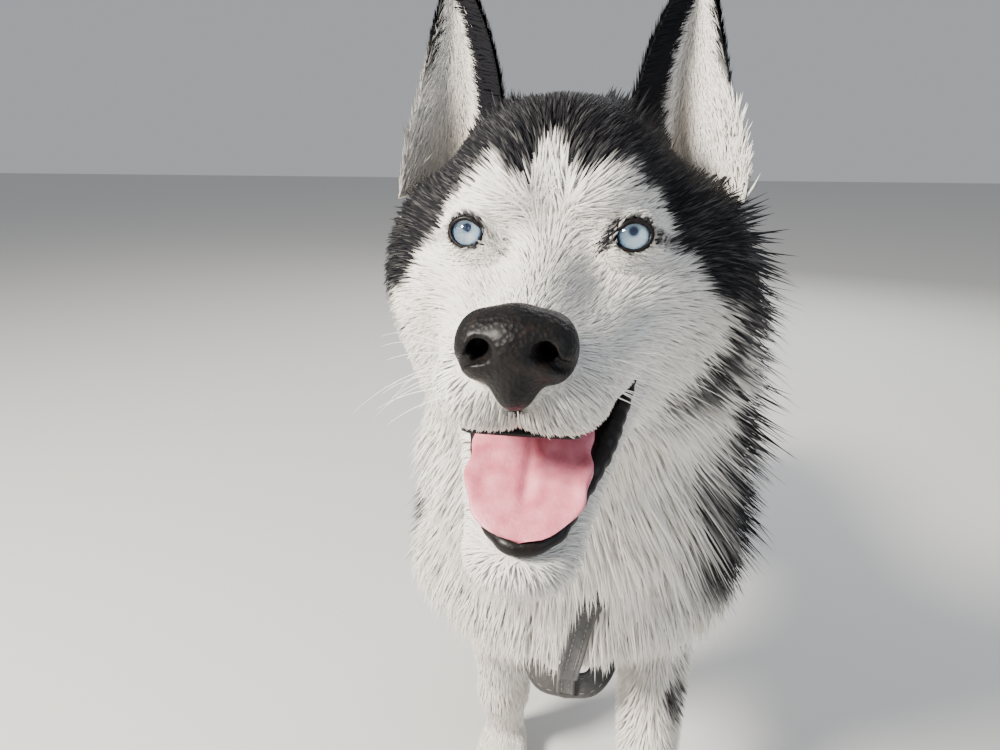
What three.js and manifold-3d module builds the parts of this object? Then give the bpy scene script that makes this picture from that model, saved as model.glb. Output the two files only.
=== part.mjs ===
// A Siberian husky as a still, life-size model, standing with its head raised, its mouth open and a webbing
// harness on. Millimetres, +Z up, the dog faces -Y and its left side is +X. All soles are flat at z = 0.
//
// The coat's outer form is a distance field: rounded limbs and balls, joined by smooth unions. Each named part
// is meshed from that field on its own grid, finer where the form is finer, and trimmed at a plane where it
// meets the next part. Long coat (cheek ruff, neck, chest, breeches and tail) is a core with tapered locks
// rooted in it, which follow the surface along the lie of the hair and lift off it towards their tips.
import * as THREE from "three";
import { mergeVertices } from "three/addons/utils/BufferGeometryUtils.js";
import Module from "manifold-3d";

const wasm = await Module();
wasm.setup();

// Driving dimensions
const GAP = 0.3; // between touching parts
const WITHERS = 580; // height of the shoulders
const EYE_HEIGHT = 737;
const EYE_FORWARD = 354; // from the withers
const HEAD_PITCH = 10; // degrees that the muzzle is raised
const EYE_SPACING = 67; // between the orbits
const EYEBALL_R = 11;
const SOLE_Z = 0;
const TOUCH_STEP = 0.02; // parts two vertices that share a place
const ROOM = 1000; // beyond the dog on every side

// Vectors are arrays of three numbers
const add = (a, b) => [a[0] + b[0], a[1] + b[1], a[2] + b[2]];
const sub = (a, b) => [a[0] - b[0], a[1] - b[1], a[2] - b[2]];
const times = (a, s) => [a[0] * s, a[1] * s, a[2] * s];
const dot = (a, b) => a[0] * b[0] + a[1] * b[1] + a[2] * b[2];
const length = (a) => Math.hypot(a[0], a[1], a[2]);
const unit = (a) => times(a, 1 / (length(a) || 1));
const cross = (a, b) => [
  a[1] * b[2] - a[2] * b[1],
  a[2] * b[0] - a[0] * b[2],
  a[0] * b[1] - a[1] * b[0],
];
const mix = (a, b, t) => a + (b - a) * t;
const mixPoint = (a, b, t) => add(times(a, 1 - t), times(b, t));
const clamp = (v, low, high) => Math.min(high, Math.max(low, v));
const radians = (degrees) => (degrees * Math.PI) / 180;
const mirrorX = (p) => [-p[0], p[1], p[2]];

// The head's own frame has its origin midway between the eyes and is pitched up about X
const EYE_MID = [0, -EYE_FORWARD, EYE_HEIGHT];
const PITCH_COS = Math.cos(radians(HEAD_PITCH));
const PITCH_SIN = Math.sin(radians(HEAD_PITCH));
const headToWorld = ([x, y, z]) =>
  add(EYE_MID, [x, y * PITCH_COS + z * PITCH_SIN, z * PITCH_COS - y * PITCH_SIN]);
const worldToHead = (p) => {
  const [x, y, z] = sub(p, EYE_MID);
  return [x, y * PITCH_COS - z * PITCH_SIN, z * PITCH_COS + y * PITCH_SIN];
};
const headDirection = (d) => sub(headToWorld(d), EYE_MID);

// Distance to an ellipsoid, and to a limb whose radius changes evenly and whose section is wide times as wide
const ball = (centre, radii) => (p) => {
  const q = sub(p, centre);
  const k0 = Math.hypot(q[0] / radii[0], q[1] / radii[1], q[2] / radii[2]);
  const k1 = Math.hypot(q[0] / radii[0] ** 2, q[1] / radii[1] ** 2, q[2] / radii[2] ** 2);
  return k1 < 1e-9 ? -Math.min(...radii) : (k0 * (k0 - 1)) / k1;
};
const limb = (a, b, radiusA, radiusB, wide = 1) => {
  const along = sub(b, a);
  const squared = dot(along, along);
  return (p) => {
    const fromA = sub(p, a);
    const t = clamp(dot(fromA, along) / squared, 0, 1);
    const q = sub(fromA, times(along, t));
    return Math.hypot(q[0] / wide, q[1], q[2]) - mix(radiusA, radiusB, t);
  };
};

// Smooth union of two distances over a fillet of about k
const smin = (a, b, k) => {
  const h = Math.max(k - Math.abs(a - b), 0) / k;
  return Math.min(a, b) - (h * h * k) / 4;
};
const joined = (forms, k) => (p) => {
  let d = 1e6;
  for (const form of forms) d = smin(d, form(p), k);
  return d;
};
// Forms written for the dog's left side serve both sides
const mirrored = (field) => (p) => field([Math.abs(p[0]), p[1], p[2]]);

// Head, in its own frame
const SKULL = [
  ball([0, 56, 20], [56, 62, 51]), // braincase under the crown's fur
  ball([20, 10, 20], [19, 20, 18]), // brow
  ball([37, 42, -20], [32, 42, 34]), // cheekbone
  ball([0, 52, -42], [52, 50, 46]), // jowl and upper throat
];
const CHEEK_RUFF = ball([50, 62, -12], [38, 36, 46]); // core of the cheeks' ruff
const MUZZLE = [
  limb([0, 4, -16], [0, -78, -41], 18, 14), // bridge
  limb([24, 2, -41], [14, -66, -50], 24, 17), // flews
  ball([11, -75, -52], [16, 15, 14.5]), // whisker pad
];
const ORBIT = ball([EYE_SPACING / 2 - 1, 5, 0], [15.5, 13, 13]); // lids over the eyeball
const JAW = [
  limb([0, 22, -82], [0, -54, -118], 24, 14, 1.1),
  limb([25, 16, -70], [12, -52, -112], 18, 11),
  ball([0, -63, -118], [19, 14, 12]), // chin
];
const skullField = joined(SKULL, 17);
const muzzleField = joined(MUZZLE, 14);
const jawField = joined(JAW, 14);
const headLocal = mirrored((p) => {
  const skull = smin(skullField(p), CHEEK_RUFF(p), 12);
  const face = smin(smin(skull, muzzleField(p), 17), ORBIT(p), 6);
  return smin(face, jawField(p), 10);
});
const headField = (p) => headLocal(worldToHead(p));

// Neck and torso
const NECK_TOP = headToWorld([0, 96, -30]);
const NECK_BASE = [0, -100, 520];
const neckField = mirrored(
  joined(
    [
      limb(NECK_TOP, NECK_BASE, 82, 108),
      ball(headToWorld([0, 104, -38]), [92, 54, 80]), // behind the cheeks
      ball([0, -186, 548], [94, 66, 84]), // throat
    ],
    26,
  ),
);
const torsoField = mirrored(
  joined(
    [
      ball([0, -16, WITHERS - 140], [112, 168, 139]), // rib cage at the shoulders
      ball([0, 140, WITHERS - 126], [104, 200, 116]), // barrel
      ball([0, 335, WITHERS - 102], [90, 126, 88]), // loin and croup
      ball([0, -122, 440], [92, 80, 104]), // forechest
      limb([58, -24, 520], [82, -92, 426], 54, 52), // shoulder blade
      limb([82, -92, 426], [86, -8, 336], 51, 44), // upper arm
    ],
    40,
  ),
);

// Legs: the left foreleg stands forward, the right one back, and the hind legs the other way round
const LEGS = {
  foreleg_left: { side: 1, top: [84, -18, 326], joint: [82, -84, 130], paw: [80, -112] },
  foreleg_right: { side: -1, top: [84, 6, 322], joint: [86, 62, 120], paw: [88, 74] },
  hindleg_left: { side: 1, top: [82, 312, 308], joint: [84, 446, 172], paw: [86, 398] },
  hindleg_right: { side: -1, top: [82, 286, 308], joint: [82, 402, 172], paw: [84, 352] },
};
const PAW = { height: 24, width: 31, depth: 38, toeRadius: 13.5, toeSpacing: 13.5, reach: 33 };
const TOES = [-1.5, -0.5, 0.5, 1.5]; // in toe spacings from the paw's middle
const toeReach = (toe) => PAW.reach - 4.5 * toe ** 2; // the middle toes reach furthest
const pawForms = ([x, y]) => [
  ball([x, y, PAW.height - 2], [PAW.width, PAW.depth, PAW.height]),
  ...TOES.map((toe) => {
    const at = x + toe * PAW.toeSpacing;
    return limb([at, y - 8, 28], [at + toe, y - toeReach(toe), 12], 12, PAW.toeRadius);
  }),
];
const forelegForms = ({ top, joint, paw }) => [
  limb(top, joint, 45, 29),
  limb(add(top, [0, 22, -6]), add(top, [0, 2, -90]), 26, 18), // point of the elbow
  limb(joint, [paw[0], paw[1] + 14, 40], 29, 25),
];
const hindlegForms = ({ top, joint, paw }) => [
  limb([64, top[1] + 66, 440], top, 68, 46, 0.78), // thigh
  ball([60, top[1] + 70, 404], [45, 78, 82]), // back of the thigh
  limb(top, joint, 48, 25), // gaskin
  limb(add(joint, [0, 6, 8]), [paw[0], paw[1] + 16, 40], 25, 23), // hock and rear pastern
];
const legFields = {};
for (const [name, leg] of Object.entries(LEGS)) {
  const shank = joined(name.startsWith("fore") ? forelegForms(leg) : hindlegForms(leg), 24);
  const paw = joined(pawForms(leg.paw), 5);
  legFields[name] = ([x, y, z]) => {
    const p = [x * leg.side, y, z];
    return smin(shank(p), paw(p), 12);
  };
}

// Tail, hanging in a low sickle
const TAIL_PATH = [
  [0, 436, 524],
  [6, 500, 494],
  [14, 546, 428],
  [20, 566, 350],
  [20, 574, 270],
  [14, 598, 205],
];
const TAIL_RADII = [23, 26, 31, 31, 26, 11]; // of the core
const tailField = joined(
  TAIL_PATH.slice(1).map((p, i) => limb(TAIL_PATH[i], p, TAIL_RADII[i], TAIL_RADII[i + 1])),
  18,
);

// The whole coat. A region further off than its fillet can't change the distance, so it is passed over.
const REGIONS = [
  { field: headField, centre: headToWorld([0, 20, -10]), reach: 190, fillet: 34 },
  { field: neckField, centre: mixPoint(NECK_TOP, NECK_BASE, 0.5), reach: 250, fillet: 34 },
  { field: torsoField, centre: [0, 130, 450], reach: 360, fillet: 46 },
  ...Object.entries(LEGS).map(([name, leg]) => ({
    field: legFields[name],
    centre: [leg.side * 80, leg.top[1] + 30, 240],
    reach: 290,
    fillet: name.startsWith("fore") ? 18 : 30,
  })),
  { field: tailField, centre: [10, 530, 370], reach: 230, fillet: 14 },
];
const bodyField = (p) => {
  let d = 1e3;
  for (const { field, centre, reach, fillet } of REGIONS) {
    if (length(sub(p, centre)) - reach > d + fillet) continue;
    d = smin(d, field(p), fillet);
  }
  return d;
};
const gradient = (field, p, e = 0.5) =>
  unit([
    field(add(p, [e, 0, 0])) - field(sub(p, [e, 0, 0])),
    field(add(p, [0, e, 0])) - field(sub(p, [0, e, 0])),
    field(add(p, [0, 0, e])) - field(sub(p, [0, 0, e])),
  ]);
const toLevel = (field, p, level, steps = 4) => {
  let q = p;
  for (let i = 0; i < steps; i++) {
    q = sub(q, times(gradient(field, q), 0.9 * (field(q) - level)));
  }
  return q;
};

// Grid lines from low to high. The spacing is the first entry's up to its place, and so on.
const gridLines = (low, high, ...steps) => {
  const lines = [low];
  while (lines.at(-1) < high) {
    const here = lines.at(-1);
    const [, spacing] = steps.find(([upTo]) => here < upTo) ?? steps.at(-1);
    lines.push(here + spacing);
  }
  return lines;
};
const evenLines = (low, high, spacing) => gridLines(low, high, [high, spacing]);
// Lines alike on both sides of x = 0, with one spacing up to a width and another beyond it
const sideLines = (reach, width, near, far) => {
  const half = gridLines(near / 2, reach, [width, near], [reach, far]);
  return [...half.map((x) => -x).reverse(), ...half];
};

// Surface nets: one vertex for each cell that the surface crosses, and one quad for each grid edge that it
// crosses. The grid's outermost layer counts as outside, so that every mesh closes.
const meshField = (field, [xs, ys, zs], level = 0) => {
  const [nx, ny, nz] = [xs.length, ys.length, zs.length];
  const at = (i, j, k) => (i * ny + j) * nz + k;
  const place = (i, j, k) => [xs[i], ys[j], zs[k]];
  const values = new Float64Array(nx * ny * nz).fill(1);
  for (let i = 1; i < nx - 1; i++)
    for (let j = 1; j < ny - 1; j++)
      for (let k = 1; k < nz - 1; k++) values[at(i, j, k)] = field(place(i, j, k)) - level || 1e-4;

  const corners = [0, 1, 2, 3, 4, 5, 6, 7].map((c) => [c >> 2, (c >> 1) & 1, c & 1]);
  const edges = [];
  for (let a = 0; a < 8; a++)
    for (const bit of [1, 2, 4]) if (!(a & bit)) edges.push([a, a | bit]);
  const cellVertex = new Int32Array(nx * ny * nz).fill(-1);
  const positions = [];
  for (let i = 0; i < nx - 1; i++)
    for (let j = 0; j < ny - 1; j++)
      for (let k = 0; k < nz - 1; k++) {
        const v = corners.map(([a, b, c]) => values[at(i + a, j + b, k + c)]);
        const crossed = edges.filter(([a, b]) => v[a] < 0 !== v[b] < 0);
        if (!crossed.length) continue;
        let sum = [0, 0, 0];
        for (const [a, b] of crossed) {
          const corner = ([di, dj, dk]) => place(i + di, j + dj, k + dk);
          const [from, to] = [corner(corners[a]), corner(corners[b])];
          sum = add(sum, mixPoint(from, to, v[a] / (v[a] - v[b])));
        }
        const low = place(i, j, k);
        const size = sub(place(i + 1, j + 1, k + 1), low);
        let p = times(sum, 1 / crossed.length);
        for (let step = 0; step < 3; step++) {
          const d = field(p) - level;
          if (Math.abs(d) > 0.8 * Math.min(...size)) break;
          p = sub(p, times(gradient(field, p), 0.85 * d));
        }
        p = p.map((c, axis) => clamp(c, low[axis] + 0.02 * size[axis], low[axis] + 0.98 * size[axis]));
        cellVertex[at(i, j, k)] = positions.length;
        positions.push(p);
      }

  const triangles = [];
  const quad = (cells, flip) => {
    const [a, b, c, d] = cells.map(([i, j, k]) => cellVertex[at(i, j, k)]);
    const [p, q, r, s] = [a, b, c, d].map((index) => positions[index]);
    const short = length(sub(p, r)) <= length(sub(q, s));
    const halves = short
      ? [[a, b, c], [a, c, d]]
      : [[a, b, d], [b, c, d]];
    for (const half of halves) triangles.push(...(flip ? half.reverse() : half));
  };
  for (let i = 0; i < nx - 1; i++)
    for (let j = 0; j < ny - 1; j++)
      for (let k = 0; k < nz - 1; k++) {
        const inside = values[at(i, j, k)] < 0;
        if (inside !== values[at(i + 1, j, k)] < 0)
          quad([[i, j, k], [i, j - 1, k], [i, j - 1, k - 1], [i, j, k - 1]], !inside);
        if (inside !== values[at(i, j + 1, k)] < 0)
          quad([[i, j, k], [i, j, k - 1], [i - 1, j, k - 1], [i - 1, j, k]], !inside);
        if (inside !== values[at(i, j, k + 1)] < 0)
          quad([[i, j, k], [i - 1, j, k], [i - 1, j - 1, k], [i, j - 1, k]], !inside);
      }
  return solid(positions, triangles);
};

// Closed solids, from points and triangles or from a three.js geometry
const solid = (positions, triangles) => {
  const vertProperties = new Float32Array(positions.flat());
  const triVerts = new Uint32Array(triangles);
  return new wasm.Manifold(new wasm.Mesh({ numProp: 3, vertProperties, triVerts }));
};
const solidOf = (geometry) => {
  const bare = geometry.clone();
  bare.deleteAttribute("normal");
  bare.deleteAttribute("uv");
  const merged = mergeVertices(bare, 1e-3);
  const vertProperties = new Float32Array(merged.attributes.position.array);
  const triVerts = new Uint32Array(merged.index.array);
  return new wasm.Manifold(new wasm.Mesh({ numProp: 3, vertProperties, triVerts }));
};
const largest = (shape) => {
  const pieces = shape.decompose();
  return pieces.reduce((best, piece) => (piece.volume() > best.volume() ? piece : best));
};
const without = (shape, ...cutters) => cutters.reduce((rest, cutter) => rest.subtract(cutter), shape);
const withAll = (shape, ...others) => others.reduce((whole, other) => whole.add(other), shape);

// Everything behind a plane, as a big block whose top face lies in it, and a block between two corners
const behind = (point, normal) => {
  const block = new THREE.BoxGeometry(3 * ROOM, 3 * ROOM, 3 * ROOM).translate(0, 0, -1.5 * ROOM);
  const turn = new THREE.Quaternion().setFromUnitVectors(
    new THREE.Vector3(0, 0, 1),
    new THREE.Vector3(...unit(normal)),
  );
  return solidOf(block.applyQuaternion(turn).translate(...point));
};
const boxBetween = (low, high) => {
  const [size, middle] = [sub(high, low), mixPoint(low, high, 0.5)];
  return solidOf(new THREE.BoxGeometry(...size).translate(...middle));
};
// A prism across the head: a convex outline of [y, z] points in the head's frame, counter-clockwise from +X
const headPrism = (outline, halfWidth) => {
  const n = outline.length;
  const positions = [-halfWidth, halfWidth].flatMap((x) => outline.map(([y, z]) => headToWorld([x, y, z])));
  const triangles = [];
  for (let i = 1; i < n - 1; i++) triangles.push(0, i + 1, i, n, n + i, n + i + 1);
  for (let i = 0; i < n; i++) {
    const next = (i + 1) % n;
    triangles.push(i, next, n + next, i, n + next, n + i);
  }
  return solid(positions, triangles);
};

// A thin solid between two faces, each a function of u and v from 0 to 1, split alike on both
const sheet = (front, back, acrossSteps, alongSteps) => {
  const row = acrossSteps + 1;
  const count = row * (alongSteps + 1);
  const positions = [];
  for (const face of [front, back])
    for (let j = 0; j <= alongSteps; j++)
      for (let i = 0; i <= acrossSteps; i++) positions.push(face(i / acrossSteps, j / alongSteps));
  const triangles = [];
  const quad = (a, b, c, d) => triangles.push(a, b, c, a, c, d);
  for (let j = 0; j < alongSteps; j++)
    for (let i = 0; i < acrossSteps; i++) {
      const a = j * row + i;
      quad(a, a + 1, a + row + 1, a + row);
      quad(count + a, count + a + row, count + a + row + 1, count + a + 1);
    }
  for (let i = 0; i < acrossSteps; i++) {
    const top = alongSteps * row + i;
    quad(i, count + i, count + i + 1, i + 1);
    quad(top, top + 1, count + top + 1, count + top);
  }
  for (let j = 0; j < alongSteps; j++) {
    const left = j * row;
    const right = left + acrossSteps;
    quad(left, left + row, count + left + row, count + left);
    quad(right, count + right, count + right + row, right + row);
  }
  const made = solid(positions, triangles);
  return made.volume() < 0 ? solid(positions, [...triangles].reverse()) : made;
};

// Eyes, and the sockets and lid openings cut for them
const EYE_YAW = 18; // degrees outward
const EYE_SLANT = 9; // degrees, outer corner up
const LID_OPENING = [10.4, 14, 6.8]; // half width, depth, half height
const EYE_CENTRE = [EYE_SPACING / 2 - 3, 5, 0];
const eyeParts = (side) => {
  const centre = headToWorld([side * EYE_CENTRE[0], EYE_CENTRE[1], EYE_CENTRE[2]]);
  const eyeball = (radius, detail) => new THREE.IcosahedronGeometry(radius, detail).translate(...centre);
  const opening = new THREE.IcosahedronGeometry(1, 3).scale(...LID_OPENING);
  opening.rotateY(radians(-side * EYE_SLANT)).translate(0, -8, 0).rotateZ(radians(side * EYE_YAW));
  opening.rotateX(radians(-HEAD_PITCH)).translate(...centre);
  const socket = eyeball(EYEBALL_R + 1.5 * GAP, 2);
  return { eye: eyeball(EYEBALL_R, 2), socket: solidOf(socket), opening: solidOf(opening) };
};

// Nose leather, with nostrils that run outward and back
const noseForms = joined(
  [
    ball([0, -91, -35], [15.5, 13.5, 13]),
    ball([11.5, -90, -36], [8, 12, 11]), // wings
    ball([0, -90, -47], [7.5, 10, 9]), // wedge above the lip
  ],
  5,
);
const nostril = joined(
  [limb([8.5, -104, -37], [11.5, -96, -35], 4.4, 3), limb([11, -101, -38], [19.5, -93, -42], 2.4, 1.8)],
  2,
);
const philtrum = limb([0, -104.5, -44], [0, -104.5, -80], 1.6, 1.6);
const noseBody = mirrored(noseForms);
const noseShape = mirrored((p) => Math.max(noseForms(p), -nostril(p), -philtrum(p)));
const inHead = (field) => (p) => field(worldToHead(p));
const NOSE_STEP = 4.6;
const NOSE_GRID = [
  sideLines(29, 29, NOSE_STEP, NOSE_STEP),
  evenLines(headToWorld([0, -112, 0])[1], headToWorld([0, -68, 0])[1], NOSE_STEP),
  evenLines(headToWorld([0, -90, -68])[2], headToWorld([0, -90, -12])[2], NOSE_STEP),
];

// Mouth: the lips' lines run from the corners to the front, and the jaw is parted from the head behind them
const MOUTH_CORNER = [-11, -59];
const UPPER_LIP = [-120, -71];
const LOWER_LIP = [-120, -138.5];
const BELOW_CHIN = [-120, -220];
const JAW_BACK = [
  [34, -220],
  [12, -120],
];
const openMouth = headPrism([MOUTH_CORNER, UPPER_LIP, BELOW_CHIN, ...JAW_BACK], 120);
const jawRegion = headPrism(
  [
    MOUTH_CORNER.map((c) => c - GAP),
    LOWER_LIP,
    BELOW_CHIN,
    ...JAW_BACK.map(([y, z]) => [y - GAP, z]),
  ],
  120,
);

// The tongue lies along the lower jaw. s runs from the mouth's corner to the front and h rises from the jaw.
const JAW_LINE = unit([0, LOWER_LIP[0] - MOUTH_CORNER[0], LOWER_LIP[1] - MOUTH_CORNER[1]]);
const JAW_NORMAL = [0, JAW_LINE[2], -JAW_LINE[1]];
const onJaw = (x, s, h) => add([x, ...MOUTH_CORNER], add(times(JAW_LINE, s), times(JAW_NORMAL, h)));
const TONGUE = { from: -4, to: 79, halfWidth: 21.5, thick: 7, offset: -1.5 };
const tongueSolid = (grow) => {
  const reach = TONGUE.to - TONGUE.from;
  const point = (u, v, top) => {
    const across = 2 * u - 1;
    const s = TONGUE.from + reach * v;
    const round = Math.sqrt(Math.max(1 - clamp((v - 0.66) / 0.34, 0, 1) ** 2.4, 0.01));
    const x = TONGUE.offset * v + across * ((TONGUE.halfWidth - 2 * (1 - v)) * round + grow);
    const edge = Math.abs(across) ** 3;
    const dip = 1.8 * Math.exp(-((across * 6) ** 2)) * clamp(v * 3, 0, 1);
    const upper = TONGUE.thick * (1 - 0.35 * v) - dip + 1.6 * edge * v;
    const lower = 0.3 + 4 * edge * v;
    const tip = v > 0.999 ? grow : 0;
    return headToWorld(onJaw(x, s + tip, top ? upper + grow : lower - grow));
  };
  return sheet((u, v) => point(u, v, true), (u, v) => point(u, v, false), 8, 9);
};

// Lower lip: a bead along the jaw's edge
const lipBead = (points, radius) => {
  const curve = new THREE.CatmullRomCurve3(points.map((p) => new THREE.Vector3(...headToWorld(p))));
  const section = new THREE.Shape();
  section.absarc(0, 0, radius, 0, 2 * Math.PI);
  const shape = new THREE.Shape(section.getPoints(5).slice(0, -1));
  return solidOf(new THREE.ExtrudeGeometry(shape, { steps: 18, bevelEnabled: false, extrudePath: curve }));
};
const LOWER_LIP_PATH = [-1, -0.8, -0.5, -0.2, 0, 0.2, 0.5, 0.8, 1].map((t) => {
  const round = Math.sqrt(1 - 0.97 * t * t);
  return onJaw(Math.sign(t) * (35 - 17 * round) * Math.abs(t) ** 0.5, 6 + 73 * round, -2);
});

// Ears: a cupped shell that opens forward and outward
const EAR = {
  inner: [31, 60, 62], // foot of the inner edge
  outer: [88, 72, 28], // foot of the outer edge
  tip: [66, 80, 143],
  tipWidth: 6,
  cup: 24, // depth of the cup at the foot
  thickFoot: 11,
  thickTip: 3.4,
};
const earSolid = (side) => {
  const point = (u, v, inside) => {
    const inner = mixPoint(EAR.inner, add(EAR.tip, [-EAR.tipWidth / 2, 0, 0]), v);
    const outer = mixPoint(EAR.outer, add(EAR.tip, [EAR.tipWidth / 2, 0, 0]), v);
    const bow = 4 * v * (1 - v);
    const left = add(inner, [-4 * bow, 0, 3 * bow]);
    const right = add(outer, [9 * bow, 0, 4 * bow]);
    const width = Math.max(1 - v, 0.06);
    const around = Math.sin(Math.PI * u);
    const thick = mix(EAR.thickFoot, EAR.thickTip, v);
    const depth = EAR.cup * around * width + (inside ? 0 : thick * (0.45 + 0.55 * around));
    const p = add(mixPoint(left, right, u), [0, depth, 0]);
    return headToWorld([side * p[0], p[1], p[2]]);
  };
  return sheet((u, v) => point(u, v, true), (u, v) => point(u, v, false), 8, 7);
};

// Planes and boxes that part the body
const HEAD_PLANE = { point: headToWorld([0, 49, -93]), normal: [0, 0.78, -0.626] };
const NECK_PLANE = { point: [0, -120, 560], normal: [0, 0.766, -0.643] };
const FORELEG_TOP = 332;
const FORELEG_INNER = 44;
const HINDLEG_INNER = 8;
const HINDLEG_FRONT = 214;
const HINDLEG_TOP = { point: [0, 232, 350], normal: [0, -0.287, 0.958] };
const TAIL_ROOT = 466;
const HALF_GAP = GAP / 2;
const LOCK_CLEAR = 0.4; // round a lock that hangs over the next part
const shifted = ({ point, normal }, by) => add(point, times(unit(normal), by));
const beforePlane = (plane) => behind(shifted(plane, -HALF_GAP), plane.normal);
const afterPlane = (plane) => behind(shifted(plane, HALF_GAP), times(plane.normal, -1));
const forelegBlock = (side, grow) => {
  const [near, far] = [side * (FORELEG_INNER - grow), side * ROOM];
  return boxBetween([Math.min(near, far), -ROOM, -ROOM], [Math.max(near, far), 190, FORELEG_TOP + grow]);
};
const hindlegBlock = (side, grow) => {
  const [near, far] = [side * (HINDLEG_INNER - grow), side * ROOM];
  const low = [Math.min(near, far), HINDLEG_FRONT - grow, -ROOM];
  const high = [Math.max(near, far), ROOM, ROOM];
  return boxBetween(low, high).intersect(behind(shifted(HINDLEG_TOP, grow), HINDLEG_TOP.normal));
};
const aboveFloor = boxBetween([-ROOM, -ROOM, SOLE_Z], [ROOM, ROOM, ROOM]);

// Claws, one in front of each toe
const CLAW = { radius: 4, long: 20, droop: 122, spacing: 14, ahead: 13, height: 12 };
const claws = ({ side, paw: [x, y] }) =>
  TOES.map((toe) => {
    const claw = new THREE.ConeGeometry(CLAW.radius, CLAW.long, 6).rotateX(radians(CLAW.droop));
    const forward = toeReach(toe) + CLAW.ahead;
    return solidOf(claw.translate(side * (x + toe * CLAW.spacing), y - forward, CLAW.height));
  });

// Straps of the harness: flat webbing pressed into the coat along a route of hand-placed points
const WEBBING = { width: 25, thick: 4, sunk: 1 };
const strap = (route, { closed = false, steps = 16, width = WEBBING.width, grow = 0 } = {}) => {
  const curve = new THREE.CatmullRomCurve3(route.map((p) => new THREE.Vector3(...p)), closed);
  const points = curve.getSpacedPoints(steps).map((p) => toLevel(bodyField, p.toArray(), 0, 6));
  const rings = closed ? points.slice(0, -1) : points;
  const count = rings.length;
  const positions = rings.flatMap((p, i) => {
    const before = closed ? rings[(i + count - 1) % count] : rings[Math.max(i - 1, 0)];
    const after = closed ? rings[(i + 1) % count] : rings[Math.min(i + 1, count - 1)];
    const along = unit(sub(after, before));
    const normal = gradient(bodyField, p, 4);
    const across = unit(cross(normal, along));
    const out = cross(along, across);
    const ends = grow && !closed ? (i === 0 ? -grow : i === count - 1 ? grow : 0) : 0;
    const [low, high] = [-WEBBING.sunk - grow, WEBBING.thick - WEBBING.sunk + grow];
    const w = width / 2 + grow;
    return [[-w, low], [w, low], [w, high], [-w, high]].map(([a, h]) =>
      add(add(p, times(along, ends)), add(times(across, a), times(out, h))),
    );
  });
  const triangles = [];
  for (let i = 0; i < (closed ? count : count - 1); i++) {
    const [a, b] = [i * 4, ((i + 1) % count) * 4];
    for (let c = 0; c < 4; c++) {
      const next = (c + 1) % 4;
      triangles.push(a + c, a + next, b + next, a + c, b + next, b + c);
    }
  }
  if (!closed) {
    const last = (count - 1) * 4;
    triangles.push(0, 2, 1, 0, 3, 2, last, last + 1, last + 2, last, last + 2, last + 3);
  }
  const made = solid(positions, triangles);
  return made.volume() < 0 ? solid(positions, [...triangles].reverse()) : made;
};

// Locks of long coat. Each follows a surface along the lie of the hair, from a root sunk in it to a tip that
// stands off it. Its section is a flat lens of four corners.
let draw = 11;
const random = () => {
  draw = (draw * 16807) % 2147483647;
  return draw / 2147483647;
};
const vary = (value, share) => value * (1 + share * (2 * random() - 1));
const LOCK_RINGS = [
  { along: 0, wide: 0.75, rise: -0.3 },
  { along: 0.42, wide: 1, rise: 0.26 },
  { along: 0.76, wide: 0.66, rise: 0.68 },
  { along: 1, wide: 0, rise: 1 },
];
const lockPath = (root, lie, { long, width, thick, rise }) => {
  const turn = 0.5 * (random() - 0.5); // radians that it bends sideways by its tip
  let p = root;
  let walked = 0;
  return LOCK_RINGS.map((ring) => {
    const normal = gradient(bodyField, p, 3);
    const flow = lie(p);
    const tangent = unit(sub(flow, times(normal, dot(flow, normal))));
    const bend = turn * ring.along;
    const along = add(times(tangent, Math.cos(bend)), times(cross(normal, tangent), Math.sin(bend)));
    const step = ring.along * long - walked;
    walked += step;
    if (step) p = toLevel(bodyField, add(p, times(along, step)), 0, 4);
    const up = gradient(bodyField, p, 3);
    const centre = add(p, times(up, ring.rise * rise));
    return { centre, up, side: unit(cross(up, along)), along, half: (ring.wide * width) / 2, thick };
  });
};
const lockSolid = (path, grow = 0) => {
  const rootward = unit(sub(path[0].centre, path[1].centre));
  const positions = path.slice(0, -1).flatMap(({ centre, up, side, half, thick }, i) => {
    const halfThick = (thick * (1 - 0.22 * i)) / 2 + grow;
    const middle = i ? centre : add(centre, times(rootward, 2 * grow));
    return [
      add(middle, times(side, half + grow)),
      add(middle, times(up, halfThick)),
      sub(middle, times(side, half + grow)),
      sub(middle, times(up, halfThick)),
    ];
  });
  const tip = path.at(-1);
  positions.push(add(tip.centre, times(tip.along, 5 * grow)));
  const triangles = [0, 2, 1, 0, 3, 2];
  const last = path.length - 2;
  for (let i = 0; i < last; i++)
    for (let c = 0; c < 4; c++) {
      const [a, b] = [i * 4 + c, i * 4 + ((c + 1) % 4)];
      triangles.push(a, b, b + 4, a, b + 4, a + 4);
    }
  const end = positions.length - 1;
  for (let c = 0; c < 4; c++) triangles.push(last * 4 + c, last * 4 + ((c + 1) % 4), end);
  const made = solid(positions, triangles);
  return made.volume() < 0 ? solid(positions, [...triangles].reverse()) : made;
};
const lockSolids = (paths, grow = 0) => paths.map((path) => lockSolid(path, grow));
const lockSolidsAfter = (plane, paths) => lockSolids(paths).map((lock) => lock.intersect(afterPlane(plane)));
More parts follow.
